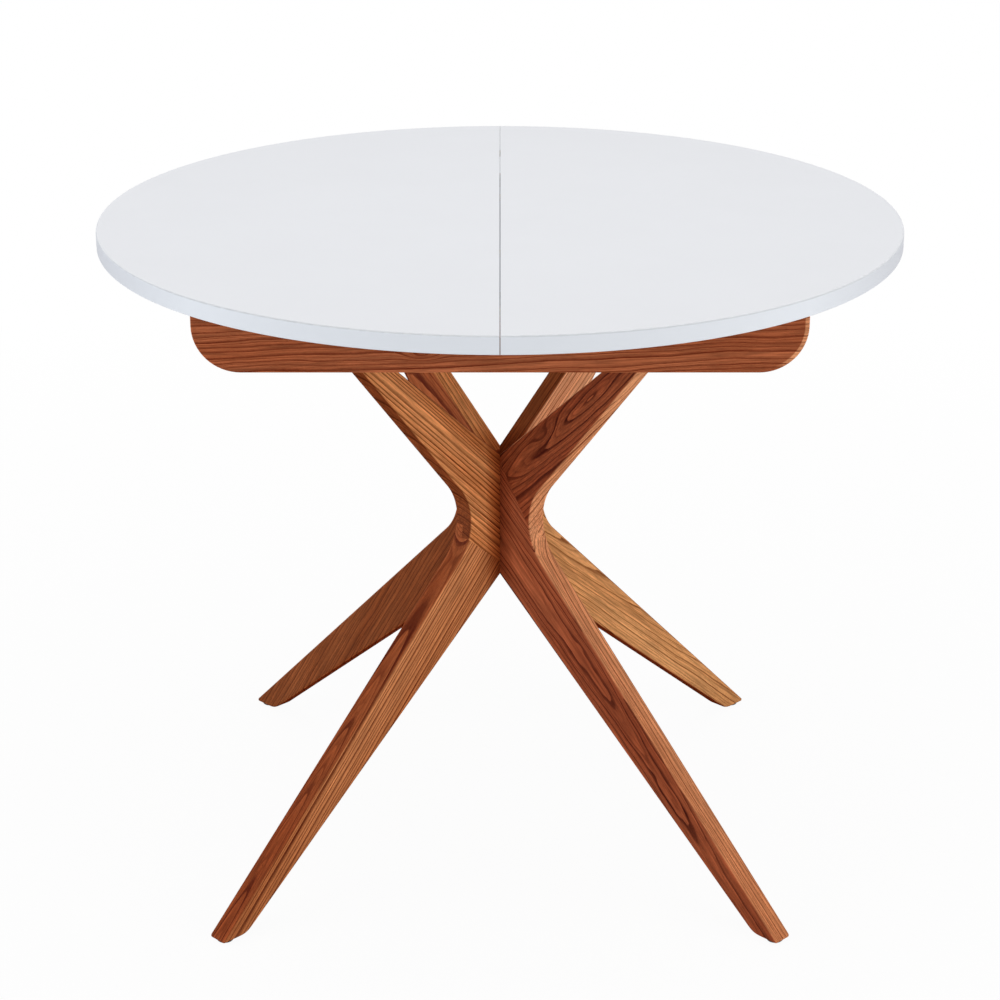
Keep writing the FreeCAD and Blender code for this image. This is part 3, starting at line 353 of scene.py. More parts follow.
# %% Lines of the years
LINE_STOPS = ((0.0, 0.0), (0.06, 1.0), (0.3, 0.92), (0.52, 0.34), (0.8, 0.05), (1.0, 0.0))
THIN_LINE_STOPS = ((0.0, 0.0), (0.15, 0.9), (0.4, 0.5), (0.7, 0.0), (1.0, 0.0))
THIN_LINES_A_YEAR = 3.0
MAIN_STRENGTHS = (0.7, 1.0)
THIN_STRENGTHS = (0.0, 0.75)
BREAKS = (0.7, 1.2)


def year_lines(group, years, width, stops, low, high):
    """A dark line at the start of each year, width of the year wide, some stronger than others."""
    luck = add_node(group, "ShaderNodeTexWhiteNoise", noise_dimensions="1D")
    join(group, calc(group, "FLOOR", years), luck.inputs["W"])
    strength = spread(group, luck.outputs["Value"], 0.0, 1.0, low, high)
    season = calc(group, "DIVIDE", calc(group, "FRACT", years), width)
    return calc(group, "MULTIPLY", curve(group, season, stops), strength)


def broken_lines(group, years, share, streak):
    """Main and thin lines together, broken by the streaks."""
    main = year_lines(group, years, share, LINE_STOPS, *MAIN_STRENGTHS)
    thin_years = calc(group, "MULTIPLY", years, THIN_LINES_A_YEAR)
    thin = year_lines(group, thin_years, 1.0, THIN_LINE_STOPS, *THIN_STRENGTHS)
    both = calc(group, "MAXIMUM", main, thin)
    broken = calc(group, "MULTIPLY", both, spread(group, streak, *NOISE_SPAN, *BREAKS))
    return calc(group, "MINIMUM", broken, 1.0)


print("Lines of the years are ready, with", THIN_LINES_A_YEAR, "thin lines a year")

# %% [markdown]
# The rest of the wood is streaks, slow changes of tone, fine fibres and open pores, each one a
# noise that is stretched along the grain. The group's outputs are masks: the dark line at the
# start of each year, the tone, the streaks, the fibres, the pores, the knot and a height for
# bump. Pores open mostly in the lines, and the height sinks in both.

# %% The ring grain group
STREAK_CELLS = (16.0, 330.0, 330.0)
TONE_CELLS = (3.0, 30.0, 30.0)
FIBRE_CELLS = (34.0, 760.0, 760.0)
PORE_CELLS = (170.0, 4200.0, 4200.0)


def make_ring_grain():
    """The wood pattern as a group of masks, set by the width and the shape of its rings."""
    group, entry, leave = new_group("ring grain", [
        ("Vector", VECTOR, None),
        ("Ring Width", FLOAT, 0.005),
        ("Line Share", FLOAT, 0.85),
        ("Waviness", FLOAT, 0.002),
        ("Bend", FLOAT, 0.0),
        ("Knot Place", VECTOR, (9.0, 9.0, 0.0)),
        ("Knot Size", VECTOR, (0.03, 0.01, 1.0)),
        ("Knot Rings", FLOAT, 0.0),
    ], ["Line", "Tone", "Streak", "Fibre", "Pore", "Knot", "Height"])
    vector = entry["Vector"]
    knot = knot_hill(group, vector, entry["Knot Place"], entry["Knot Size"])
    years = count_years(group, entry)
    years = calc(group, "ADD", years, calc(group, "MULTIPLY", knot, entry["Knot Rings"]))
    streak = noise(group, vector, STREAK_CELLS, detail=2.5).outputs["Fac"]
    line = broken_lines(group, years, entry["Line Share"], streak)
    tone = noise(group, vector, TONE_CELLS, detail=2.5).outputs["Fac"]
    fibre = noise(group, vector, FIBRE_CELLS, detail=4.0, roughness=0.66).outputs["Fac"]
    pores = noise(group, vector, PORE_CELLS, detail=0.0).outputs["Fac"]
    pore = calc(group, "MULTIPLY", spread(group, pores, 0.6, 0.7), spread(group, line, 0.0, 0.6, 0.25, 1.0))
    height = calc(group, "MULTIPLY", calc(group, "SUBTRACT", fibre, line), 0.5)
    join(group, line, leave["Line"])
    join(group, spread(group, tone, *NOISE_SPAN), leave["Tone"])
    join(group, spread(group, streak, *NOISE_SPAN), leave["Streak"])
    join(group, fibre, leave["Fibre"])
    join(group, pore, leave["Pore"])
    join(group, knot, leave["Knot"])
    join(group, calc(group, "SUBTRACT", height, pore), leave["Height"])
    return group


ring_grain = make_ring_grain()
print("Group made:", ring_grain.name, "with", len(ring_grain.nodes), "nodes")

# %% [markdown]
# Everyday handling leaves faint marks on any finish. This second group gives a soft cloud of
# dust and touch marks, and a fine speckle. Lacquer, metal, plastic and felt use them to vary
# their colour, roughness and relief.

# %% The handling marks group
CLOUD_CELLS = (9.0, 9.0, 9.0)


def make_marks():
    """Touch marks and a speckle as a group of masks, set by the speckle's size in metres."""
    group, entry, leave = new_group("handling marks", [
        ("Vector", VECTOR, None),
        ("Speckle Size", FLOAT, 0.001),
    ], ["Cloud", "Speckle"])
    cloud = noise(group, entry["Vector"], CLOUD_CELLS, detail=4.0, roughness=0.62)
    join(group, spread(group, cloud.outputs["Fac"], *NOISE_SPAN), leave["Cloud"])
    shrunk = add_node(group, "ShaderNodeVectorMath", operation="SCALE")
    join(group, entry["Vector"], shrunk.inputs[0])
    join(group, calc(group, "DIVIDE", 1.0, entry["Speckle Size"]), shrunk.inputs["Scale"])
    speckle = noise(group, shrunk.outputs[0], (1.0, 1.0, 1.0), detail=1.0)
    join(group, speckle.outputs["Fac"], leave["Speckle"])
    return group


handling_marks = make_marks()
print("Group made:", handling_marks.name, "with", len(handling_marks.nodes), "nodes")

# %% [markdown]
# ## Starting a material
# The Principled BSDF covers wood, lacquer, metal, felt and plastic alike. Object coordinates are
# metres on the piece itself, so a pattern keeps its real size and moves with its piece.


# %% Material starter
def start_material(name, **plain):
    """A material with its Principled BSDF and object coordinates; plain sets sockets."""
    material = bpy.data.materials.new(name)
    material.use_nodes = True
    tree = material.node_tree
    surface = tree.nodes["Principled BSDF"]
    for key, value in plain.items():
        surface.inputs[key.replace("_", " ")].default_value = value
    coordinates = add_node(tree, "ShaderNodeTexCoord")
    return material, tree, surface, coordinates.outputs["Object"]


def add_bump(tree, surface, height, depth, strength):
    """Relief of the given depth in metres."""
    bump = add_node(tree, "ShaderNodeBump")
    bump.inputs["Strength"].default_value = strength
    bump.inputs["Distance"].default_value = depth
    join(tree, height, bump.inputs["Height"])
    join(tree, bump.outputs["Normal"], surface.inputs["Normal"])


def dress(material, *names):
    """Give CAD nodes a finish."""
    for name in names:
        mesh = nodes[name].data
        mesh.materials.clear()
        mesh.materials.append(material)


print("Material helpers are ready")

# %% [markdown]
# ## Stained ash
# The base and aprons are ash with a red-brown stain and a satin oil. Ash has wide, open spring
# lines, and the stain settles in them, so the lines are dark and the wood between them is tan.
#
# Shade is also painted into the colour of the base. It darkens where the boards meet at the
# middle of the cross and on undersides, where shade falls, and the wood is darker towards the
# floor. This painted darkening is one number, the share of light that is left, raised to a power
# of its own for red, green and blue, so it is redder as well as darker.

# %% Tones and painted shade
FIBRE_SHADES = (0.79, 1.22)
STREAK_SHADES = (0.7, 1.25)
DARKENING_POWERS = (0.85, 1.55, 2.1)
HUB_SHADE_REACH = (13.0 * MM, 38.0 * MM)
FOOT_DARKENING_HEIGHTS = (30.0 * MM, 360.0 * MM)
UNDERSIDE_PAINTED_SHADE = 0.42


def mix_tones(tree, grain, tones):
    """Light and middle wood by the slow tone, dark wood in the year lines."""
    light, middle, dark = tones
    body = blend_colours(tree, grain["Tone"], middle, light)
    shade = calc(tree, "MULTIPLY", spread(tree, grain["Fibre"], 0.35, 0.65, *FIBRE_SHADES),
                 spread(tree, grain["Streak"], 0.0, 1.0, *STREAK_SHADES))
    body = blend_colours(tree, 1.0, body, colour_of(tree, shade), "MULTIPLY")
    return blend_colours(tree, grain["Line"], body, dark)


def painted_shade_and_darkening(tree, vector, hub_shade, foot_shade):
    """A colour to multiply by: painted shade near the middle of the base and on undersides, and
    darker towards the floor, all of it redder as it darkens. The shades are the shares of light left
    at the hub and at the foot."""
    middle = add_node(tree, "ShaderNodeVectorMath", operation="LENGTH")
    join(tree, stretch(tree, vector, FLATTEN), middle.inputs[0])
    parts = add_node(tree, "ShaderNodeSeparateXYZ")
    join(tree, vector, parts.inputs[0])
    # Painted shade near the hub and on undersides, multiplied with a darkening towards the floor.
    painted_hub_shade = spread(tree, middle.outputs["Value"], *HUB_SHADE_REACH, hub_shade, 1.0)
    near_foot = spread(tree, parts.outputs["Z"], *FOOT_DARKENING_HEIGHTS, foot_shade, 1.0)
    below = spread(tree, turned_down(tree, 0.68, 0.76), 0.0, 1.0, 1.0, UNDERSIDE_PAINTED_SHADE)
    left = calc(tree, "MULTIPLY", calc(tree, "MULTIPLY", painted_hub_shade, near_foot), below)
    return colour_of(tree, *[calc(tree, "POWER", left, power) for power in DARKENING_POWERS])


print("Stain helpers are ready")

# %% [markdown]
# The oil is a thin clear coat. It sinks into the pores and is wiped off the undersides, so it is
# weak there and nowhere strong: in a white studio a strong gloss would wash the wood out.
#
# The narrow faces of a board may have tones of their own and thinner lines. They are found by
# their normal, which is why the material is told which way the broad face looks.

# %% Wood material
OIL_SATIN = 0.42
OIL_WEIGHT = 0.1
OIL_IN_PORES = 0.3
EDGE_LINE_SHARE = 0.4
PORE_DEPTH = 0.5
PORE_DARK = 0.6
KNOT_DEPTH = 0.45
GRAIN_RELIEF = 0.25 * MM


def wood_material(name, tones, cut, edge_tones=None, face=None, satin=OIL_SATIN, shades=None, painted_highlight_band=None):
    """Wood in (light, middle, dark) tones. edge_tones are for the narrow faces, away from face.
    shades are painted_shade_and_darkening's. painted_highlight_band is a function that gives 1
    where a painted highlight turns the broad face to the tones of the narrow faces."""
    material, tree, surface, vector = start_material(name, Specular_IOR_Level=0.0)
    mapping = add_node(tree, "ShaderNodeMapping", vector_type="TEXTURE")
    join(tree, vector, mapping.inputs["Vector"])
    rotation, place, values = cut
    mapping.inputs["Rotation"].default_value = rotation
    mapping.inputs["Location"].default_value = place
    grain = use_group(tree, ring_grain, Vector=mapping.outputs[0], **values)
    body = mix_tones(tree, grain, tones)
    if edge_tones:
        edge_values = {**values, "Line_Share": EDGE_LINE_SHARE}
        edge_grain = use_group(tree, ring_grain, Vector=mapping.outputs[0], **edge_values)
        broad = facing(tree, face, 0.55, 0.93)
        if painted_highlight_band:
            broad = calc(tree, "MULTIPLY", broad, calc(tree, "SUBTRACT", 1.0, painted_highlight_band(tree, vector)))
        body = blend_colours(tree, broad, mix_tones(tree, edge_grain, edge_tones), body)
    dark = tones[2]
    pores = calc(tree, "MULTIPLY", grain["Pore"], PORE_DEPTH)
    body = blend_colours(tree, pores, body, tuple(PORE_DARK * part for part in dark))
    body = blend_colours(tree, calc(tree, "MULTIPLY", grain["Knot"], KNOT_DEPTH), body, dark)
    if shades:
        body = blend_colours(tree, 1.0, body, painted_shade_and_darkening(tree, vector, *shades), "MULTIPLY")
    join(tree, body, surface.inputs["Base Color"])
    oil = calc(tree, "MULTIPLY", spread(tree, turned_down(tree, 0.0, 0.5), 0.0, 1.0, OIL_WEIGHT, 0.0),
               spread(tree, grain["Pore"], 0.0, 1.0, 1.0, OIL_IN_PORES))
    join(tree, oil, surface.inputs["Coat Weight"])
    surface.inputs["Coat Roughness"].default_value = satin
    join(tree, spread(tree, grain["Line"], 0.0, 1.0, 0.6, 0.75), surface.inputs["Roughness"])
    add_bump(tree, surface, grain["Height"], GRAIN_RELIEF, 0.35)
    return material


print("The wood material is ready, its oil has a coat weight of", OIL_WEIGHT)

# %% [markdown]
# Each board is cut from its own place in the trunk: the cut is a pith line that lies beside or
# behind the board. Where the pith is beside it, the broad face has stripes and the edge has
# arches. Where it is behind it, the broad face has the arches. A small tilt makes the lines run
# out of the board, as they do in real timber.


# %% Cutting a board from the trunk
def grain_values(width, waviness, share=0.85, bend=0.0):
    """Values for the ring grain group: the rings' width and waviness in millimetres, the share
    of the year that is dark, and a bend along the board."""
    return {"Ring_Width": width * MM, "Waviness": waviness * MM, "Line_Share": share, "Bend": bend}


def cut_board(along, face, place, pith, grain, tilt=(0.0, 0.0), knot=None):
    """Where a board was cut: pith is its offset across the grain and out of the face, in metres,
    and tilt turns it in the face and into the face, in degrees. A knot has a place, a size and
    a number of rings that it pushes up."""
    x_axis = along.normalized()
    z_axis = face.normalized()
    y_axis = z_axis.cross(x_axis)
    corner = place + y_axis * pith[0] + z_axis * pith[1]
    in_face = Matrix.Rotation(math.radians(tilt[0]), 3, z_axis)
    into_face = Matrix.Rotation(math.radians(tilt[1]), 3, y_axis)
    turn = in_face @ into_face
    axes = Matrix([turn @ x_axis, turn @ y_axis, turn @ z_axis])
    values = dict(grain)
    if knot:
        values["Knot_Place"] = axes @ (knot["place"] - corner)
        values["Knot_Size"] = (*knot["size"], 1.0)
        values["Knot_Rings"] = knot["rings"]
    return axes.transposed().to_euler("XYZ"), corner, values


print("The board cutter is ready")

# %% [markdown]
# The four boards of each kind point to the corners of a square, so one way of cutting serves
# them all: a place on a board is given as its reach from the middle and its height, and the
# slope of the grain as steps outward and up.


# %% Boards of the crossed base
def board_axes(corner):
    """The outward and the sideways direction of a base board."""
    turn = math.radians(CORNER_TURNS[corner])
    return Vector((math.cos(turn), math.sin(turn), 0.0)), Vector((-math.sin(turn), math.cos(turn), 0.0))


def base_cut(corner, slope, spot, pith, grain, tilt=(0.0, 0.0), knot=None):
    """The cut of an arm or leg: slope is (out, up) along the grain, and spot and the knot's
    place are (reach, height) on the broad face that looks to the front."""
    outward, sideways = board_axes(corner)
    face = sideways if "left" in corner else -sideways

    def on_face(reach, height):
        return outward * reach + UP * height + face * (BOARD_THICKNESS / 2.0)

    if knot:
        knot = {**knot, "place": on_face(*knot["place"])}
    along = outward * slope[0] + UP * slope[1]
    return cut_board(along, face, on_face(*spot), pith, grain, tilt, knot)


def dress_board(part, corner, tones, edge_tones, shades, **cut):
    """Dress one arm or leg of the base; cut holds what base_cut asks for."""
    piece = part + "_" + corner
    name = "stained ash, " + piece.replace("_", " ")
    broad_face = board_axes(corner)[1]
    dress(wood_material(name, tones, base_cut(corner, **cut), edge_tones, broad_face, shades=shades), piece)
    print("Dressed", piece)


print("Board helpers are ready")

# %% [markdown]
# Boards that are glued into one base never match in tone, and a narrow face takes the stain
# another way than a broad one. The tones also hold painted light from the right: faces that look
# right get light tones and faces that look left get dark ones. So each arm and leg has two sets of
# tones, light, middle and dark: one for its broad faces and one for its narrow ones.

# %% Tones of the stained boards
HONEY = (shown(240, 162, 102), shown(220, 136, 78), shown(104, 42, 14))
AMBER = (shown(226, 152, 100), shown(200, 124, 74), shown(106, 44, 16))
UMBER = (shown(142, 74, 40), shown(118, 54, 26), shown(70, 24, 8))
RUSSET = (shown(164, 86, 52), shown(140, 64, 36), shown(74, 20, 8))
ROSEWOOD = (shown(194, 110, 72), shown(154, 76, 46), shown(74, 20, 8))
SALMON = (shown(244, 180, 134), shown(226, 152, 108), shown(140, 68, 38))
CHESTNUT = (shown(182, 102, 60), shown(158, 80, 44), shown(94, 32, 14))
WALNUT = (shown(152, 84, 46), shown(132, 66, 32), shown(84, 34, 14))
TAN = (shown(232, 168, 110), shown(212, 146, 90), shown(132, 74, 36))
BLOND = (shown(240, 168, 120), shown(222, 146, 100), shown(112, 50, 26))
APRON = (shown(178, 102, 66), shown(160, 84, 50), shown(110, 42, 18))
print("Honey's light tone as light:", [round(part, 3) for part in HONEY[0]])

# %% [markdown]
# The front boards show their faces most, so their cuts are chosen with care. The left ones have
# close, straight stripes that cross at the waist. The right arm has arches round a knot, and the
# right leg has calm stripes that bend a little.

# %% Front arms and legs
# Painted light: faces that look right take light tones and faces that look left take dark ones, on broad and
# narrow faces alike.
dress_board("arm", "front_left", HONEY, UMBER, shades=(0.29, 1.0), slope=(1.03, 1.0), spot=(0.05, 0.47),
            pith=(0.16, -0.03), tilt=(1.5, 0.0), grain=grain_values(5.0, 0.9, 0.8))
dress_board("leg", "front_left", AMBER, CHESTNUT, shades=(0.26, 0.78), slope=(0.98, -1.0), spot=(0.15, 0.24),
            pith=(-0.055, -0.012), grain=grain_values(4.6, 0.6, 0.7))
dress_board("arm", "front_right", RUSSET, BLOND, shades=(0.8, 1.0), slope=(1.0, 1.0), spot=(0.16, 0.58),
            pith=(0.0, 0.0), tilt=(0.0, 6.0), grain=grain_values(6.5, 2.4, 0.5),
            knot={"place": (0.083, 0.512), "size": (0.026, 0.008), "rings": 1.2})
dress_board("leg", "front_right", ROSEWOOD, BLOND, shades=(0.68, 0.84), slope=(1.12, -1.0), spot=(0.2, 0.2),
            pith=(0.006, -0.05), tilt=(0.0, 0.6), grain=grain_values(3.2, 1.6, 0.5, 0.1))

# %% [markdown]
# The rear boards are seen in half shade between the front ones. Their tones are partly painted
# light as well. The salmon and tan boards look right and are kept light, and the chestnut and
# walnut ones look left and are kept deep as painted shade.

# %% Rear arms and legs
dress_board("arm", "rear_right", SALMON, WALNUT, shades=(0.6, 1.0), slope=(1.15, 1.0), spot=(0.12, 0.56),
            pith=(0.07, -0.07), grain=grain_values(4.4, 0.8, 0.6))
dress_board("leg", "rear_right", TAN, CHESTNUT, shades=(0.7, 1.0), slope=(1.155, -1.0), spot=(0.2, 0.22),
            pith=(0.018, -0.03), tilt=(0.0, 2.0), grain=grain_values(3.4, 1.3, 0.4))
dress_board("arm", "rear_left", CHESTNUT, HONEY, shades=(0.6, 1.0), slope=(1.0, 1.0), spot=(0.12, 0.56),
            pith=(0.03, -0.08), tilt=(1.0, 2.0), grain=grain_values(4.4, 1.0, 0.5))
dress_board("leg", "rear_left", WALNUT, CHESTNUT, shades=(0.6, 1.1), slope=(0.68, -1.0), spot=(0.2, 0.22),
            pith=(0.14, -0.05), tilt=(0.0, 1.0), grain=grain_values(4.6, 2.2, 0.45))

# %% [markdown]
# The front apron's round right end has a painted highlight, as if the key lamp caught its
# rounded edge: a band a few millimetres wide in the light tones of the narrow faces. The band is
# a ring round the centre of the rounded corner, and it fades where the corner turns under.

# %% Painted highlight on the apron's end
APRON_CORNER = 50.0 * MM
HIGHLIGHT_BAND_WIDTH = 5.0 * MM
HIGHLIGHT_FADE = (0.3, 0.7)
apron_low, apron_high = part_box("apron_front")


def past(tree, start, end):
    """How far one value lies past another, 0 where it doesn't."""
    return calc(tree, "MAXIMUM", calc(tree, "SUBTRACT", end, start), 0.0)


def painted_end_highlight(tree, vector):
    """1 in a band of painted highlight that follows the apron's round right end and fades as it turns below.
    """
    places = add_node(tree, "ShaderNodeSeparateXYZ")
    join(tree, vector, places.inputs[0])
    outside = past(tree, apron_high[0] - APRON_CORNER, places.outputs["X"])
    under = past(tree, places.outputs["Z"], apron_low[2] + APRON_CORNER)
    band_start = APRON_CORNER - HIGHLIGHT_BAND_WIDTH
    band = spread(tree, diagonal(tree, outside, under), band_start, band_start + MM)
    fade_low, fade_high = (share * APRON_CORNER for share in HIGHLIGHT_FADE)
    return calc(tree, "MULTIPLY", band, spread(tree, outside, fade_low, fade_high))


print("The front apron is", round(apron_high[0] - apron_low[0], 3), "m long")

# %% [markdown]
# The aprons and end rails lie level, so their grain runs along X or Y. The front apron has a
# dip in its rings where a small branch once grew. The aprons' narrow faces and rounded edges take
# blond tones, partly as a painted highlight along the edges. The end rails close the frame
# between the aprons and keep one set of tones all over.

# %% Aprons and end rails
FRONT = Vector((0.0, -1.0, 0.0))
REAR = Vector((0.0, 1.0, 0.0))
APRON_FACE = 0.291
RAIL_FACE = 0.268
MIDDLE_OF_APRON = 0.69
EVEN_SHADES = (1.0, 1.0)

apron_knot = {"place": Vector((-0.080, -APRON_FACE, 0.680)), "size": (0.016, 0.007), "rings": 1.6}
front_cut = cut_board(ALONG_X, FRONT, Vector((0.0, -APRON_FACE, MIDDLE_OF_APRON)), pith=(-0.10, -0.05),
                      grain=grain_values(5.2, 3.0, 0.6), tilt=(2.6, 0.6), knot=apron_knot)
rear_cut = cut_board(ALONG_X, REAR, Vector((0.1, APRON_FACE, MIDDLE_OF_APRON)), pith=(0.09, -0.04),
                     grain=grain_values(5.0, 2.2, 0.6), tilt=(-1.0, 2.0))
# The front apron gets the painted highlight on its right end.
dress(wood_material("stained ash, front apron", APRON, front_cut, BLOND, FRONT, shades=EVEN_SHADES,
                    painted_highlight_band=painted_end_highlight), "apron_front")
dress(wood_material("stained ash, rear apron", APRON, rear_cut, BLOND, REAR, shades=EVEN_SHADES),
      "apron_rear")
for name, side in (("end_rail_left", -1.0), ("end_rail_right", 1.0)):
    rail_cut = cut_board(ALONG_Y, ALONG_X * side, Vector((side * RAIL_FACE, 0.05 * side, MIDDLE_OF_APRON)),
                         pith=(0.06, -0.05), grain=grain_values(5.0, 1.8), tilt=(1.0, 1.5))
    dress(wood_material("stained ash, " + name.replace("_", " "), APRON, rail_cut), name)
print("Dressed the two aprons and the two end rails")

# %% [markdown]
# ## Pale beech
# The parts inside the frame are plain sanded beech: bearers, ledgers, corner blocks, dowels and
# the runners. The same ring grain serves, with narrow rings, faint lines and pale tones.

# %% Bare beech pieces
BEECH = (shown(218, 188, 148), shown(206, 172, 130), shown(176, 138, 98))
BARE_SATIN = 0.5
cut_along_x = cut_board(ALONG_X, UP, Vector((0.0, 0.0, 0.69)), pith=(0.3, -0.12),
                        grain=grain_values(2.6, 1.0), tilt=(1.0, 1.0))
cut_along_y = cut_board(ALONG_Y, UP, Vector((0.0, 0.0, 0.67)), pith=(0.35, -0.1),
                        grain=grain_values(2.8, 1.0), tilt=(-1.0, 1.0))
beech_along_x = wood_material("bare beech along the table", BEECH, cut_along_x, satin=BARE_SATIN)
beech_along_y = wood_material("bare beech across the table", BEECH, cut_along_y, satin=BARE_SATIN)
dress(beech_along_y, "bearer_left", "bearer_right", "corner_blocks")
dress(beech_along_x, "leaf_ledger_front", "leaf_ledger_rear", "frame_dowels", "hub_dowels",
      "runner_front_left", "runner_front_right", "runner_rear_left", "runner_rear_right")
print("Beech pieces are dressed")

# %% [markdown]
# ## White lacquer
# The top halves and the leaf are board with a sprayed satin lacquer. Spraying leaves a very
# faint ripple, called orange peel, about two millimetres long and a few hundredths deep. The
# colour is a cool white, a little uneven where hands and cloths have been, and a touch bluer on
# the rim.
#
# Fine grey lines of painted shade lie all round the arris of the top, where the rounded edge
# turns from the light, and along both sides of the seam and down its corners on the rim, where
# the gap holds shadow. The arris line is placed by height and not by how the surface turns. The
# arris is only 2 mm wide and its mesh is coarse, so a line that followed the normals would break
# into dashes.

# %% Lines of painted shade on the lacquer
ARRIS = 2.0 * MM
ARRIS_SHADE_STRENGTH = 0.65
SEAM_CORNER = 0.6 * MM
SOFT_EDGE = 0.2 * MM
RIM_SEAM_SHADE_GREY = (0.40, 0.42, 0.45)
SEAM_SHADE_GREY = (0.54, 0.56, 0.59)
ARRIS_SHADE_GREY = (0.58, 0.60, 0.62)
top_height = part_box("tabletop_left")[1].z


def arris_shade_band(tree, height):
    """1 halfway up the round arris of the top, where its painted shade is strongest, 0 at both its ends."""
    rising = spread(tree, height, top_height - ARRIS, top_height - 0.6 * ARRIS)
    falling = spread(tree, height, top_height - 0.4 * ARRIS, top_height, 1.0, 0.0)
    return calc(tree, "MULTIPLY", rising, falling)


def add_painted_edge_shade(tree, vector, colour):
    """The lacquer's colour with grey lines of painted shade along the arris and the seam."""
    places = add_node(tree, "ShaderNodeSeparateXYZ")
    join(tree, vector, places.inputs[0])
    arris = calc(tree, "MULTIPLY", arris_shade_band(tree, places.outputs["Z"]), ARRIS_SHADE_STRENGTH)
    colour = blend_colours(tree, arris, colour, ARRIS_SHADE_GREY)
    from_seam = calc(tree, "ABSOLUTE", places.outputs["X"])
    # Painted shadow in the seam: grey on the top and a darker grey on the rim.
    corner = spread(tree, from_seam, SEAM_CORNER, SEAM_CORNER + SOFT_EDGE, 1.0, 0.0)
    seam_shade_colour = blend_colours(tree, facing(tree, UP, 0.3, 0.5), RIM_SEAM_SHADE_GREY, SEAM_SHADE_GREY)
    return blend_colours(tree, corner, colour, seam_shade_colour)


print("The top's arris ends at a height of", round(top_height, 4), "m")

# %% [markdown]
# The leaf takes the same lacquer without those lines, because its panels have no seam down the
# middle. The two ends of the top's rim, which face along X, are painted greyer as painted shade.

# %% Lacquer materials
FACE_WHITES = ((0.792, 0.804, 0.836), (0.808, 0.820, 0.852))
BAND_WHITES = ((0.796, 0.834, 0.890), (0.812, 0.850, 0.906))
RIM_END_SHADE_GREY = (0.60, 0.62, 0.67)
ORANGE_PEEL = 2.2 * MM
PEEL_RELIEF = 0.03 * MM
LACQUER_ROUGHNESS = (0.48, 0.58)


def make_lacquer(name, on_top):
    """White lacquer; on_top adds the painted shade lines and the painted shade on the rim's ends of the
    top's halves.
    """
    material, tree, surface, vector = start_material(name, Specular_IOR_Level=0.1)
    marks = use_group(tree, handling_marks, Vector=vector, Speckle_Size=ORANGE_PEEL)
    face = blend_colours(tree, marks["Cloud"], *FACE_WHITES)
    band = blend_colours(tree, marks["Cloud"], *BAND_WHITES)
    colour = blend_colours(tree, facing(tree, UP, 0.5, 0.9), band, face)
    if on_top:
        colour = add_painted_edge_shade(tree, vector, colour)
        # Painted shade: the rim's ends, which face along X, are turned grey.
        on_rim = facing(tree, UP, 0.6, 0.3)
        painted_end_shade = calc(tree, "MULTIPLY", facing(tree, ALONG_X, 0.7, 1.0), on_rim)
        colour = blend_colours(tree, painted_end_shade, colour, RIM_END_SHADE_GREY)
    join(tree, colour, surface.inputs["Base Color"])
    join(tree, spread(tree, marks["Cloud"], 0.0, 1.0, *LACQUER_ROUGHNESS), surface.inputs["Roughness"])
    add_bump(tree, surface, marks["Speckle"], PEEL_RELIEF, 0.5)
    return material


dress(make_lacquer("white satin lacquer, top", True), "tabletop_left", "tabletop_right")
dress(make_lacquer("white satin lacquer, leaf", False), "leaf_panel_lower", "leaf_panel_upper")
print("Lacquered pieces are dressed")

# %% [markdown]
# ## Metals
# The slide rails are drawn aluminium, with fine lines along their length. Screws, bolts, axles
# and magnets are zinc plated steel. Pins, bushes, hinges and threaded inserts are brass.


# %% Metal materials
def make_metal(name, light, dark, rough, lines, speckle):
    """Metal with two tones and a roughness range. lines are the cells per metre of its drawn or
    turned lines, and speckle is the size of its fine marks."""
    material, tree, surface, vector = start_material(name, Metallic=1.0)
    marks = use_group(tree, handling_marks, Vector=vector, Speckle_Size=speckle)
    drawn = noise(tree, vector, lines, detail=2.0).outputs["Fac"]
    join(tree, blend_colours(tree, marks["Cloud"], dark, light), surface.inputs["Base Color"])
    drawn_share = calc(tree, "MULTIPLY", drawn, 0.6)
    uneven = calc(tree, "ADD", drawn_share, calc(tree, "MULTIPLY", marks["Speckle"], 0.4))
    join(tree, spread(tree, uneven, *NOISE_SPAN, *rough), surface.inputs["Roughness"])
    add_bump(tree, surface, uneven, 0.02 * MM, 0.4)
    return material


aluminium = make_metal("drawn aluminium", light=(0.78, 0.79, 0.80), dark=(0.66, 0.67, 0.69),
                       rough=(0.28, 0.46), lines=(6.0, 2600.0, 2600.0), speckle=0.6 * MM)
zinc = make_metal("zinc plated steel", light=(0.72, 0.72, 0.70), dark=(0.56, 0.57, 0.58),
                  rough=(0.24, 0.42), lines=(900.0, 900.0, 900.0), speckle=0.4 * MM)
brass = make_metal("turned brass", light=(0.83, 0.62, 0.28), dark=(0.66, 0.46, 0.18),
                   rough=(0.22, 0.40), lines=(1400.0, 300.0, 300.0), speckle=0.4 * MM)
dress(aluminium, "slide_rail_front", "slide_rail_rear")
dress(zinc, "runner_screws_left", "runner_screws_right", "rail_screws", "stop_pegs", "pinion_axles",
      "arm_bolts", "glide_nails", "seam_magnets", "magnet_strikes")
dress(brass, "alignment_pins", "alignment_bushes", "leaf_pins", "leaf_bushes", "leaf_hinge_plates",
      "leaf_hinge_pins", "leaf_hinge_screws", "arm_inserts")
print("Metal pieces are dressed")

# %% [markdown]
# ## Plastics and felt
# Racks and pinions are moulded nylon, a warm off-white with a waxy sheen. The glides under the
# feet are dark polythene. Both have the faint grain of a mould.


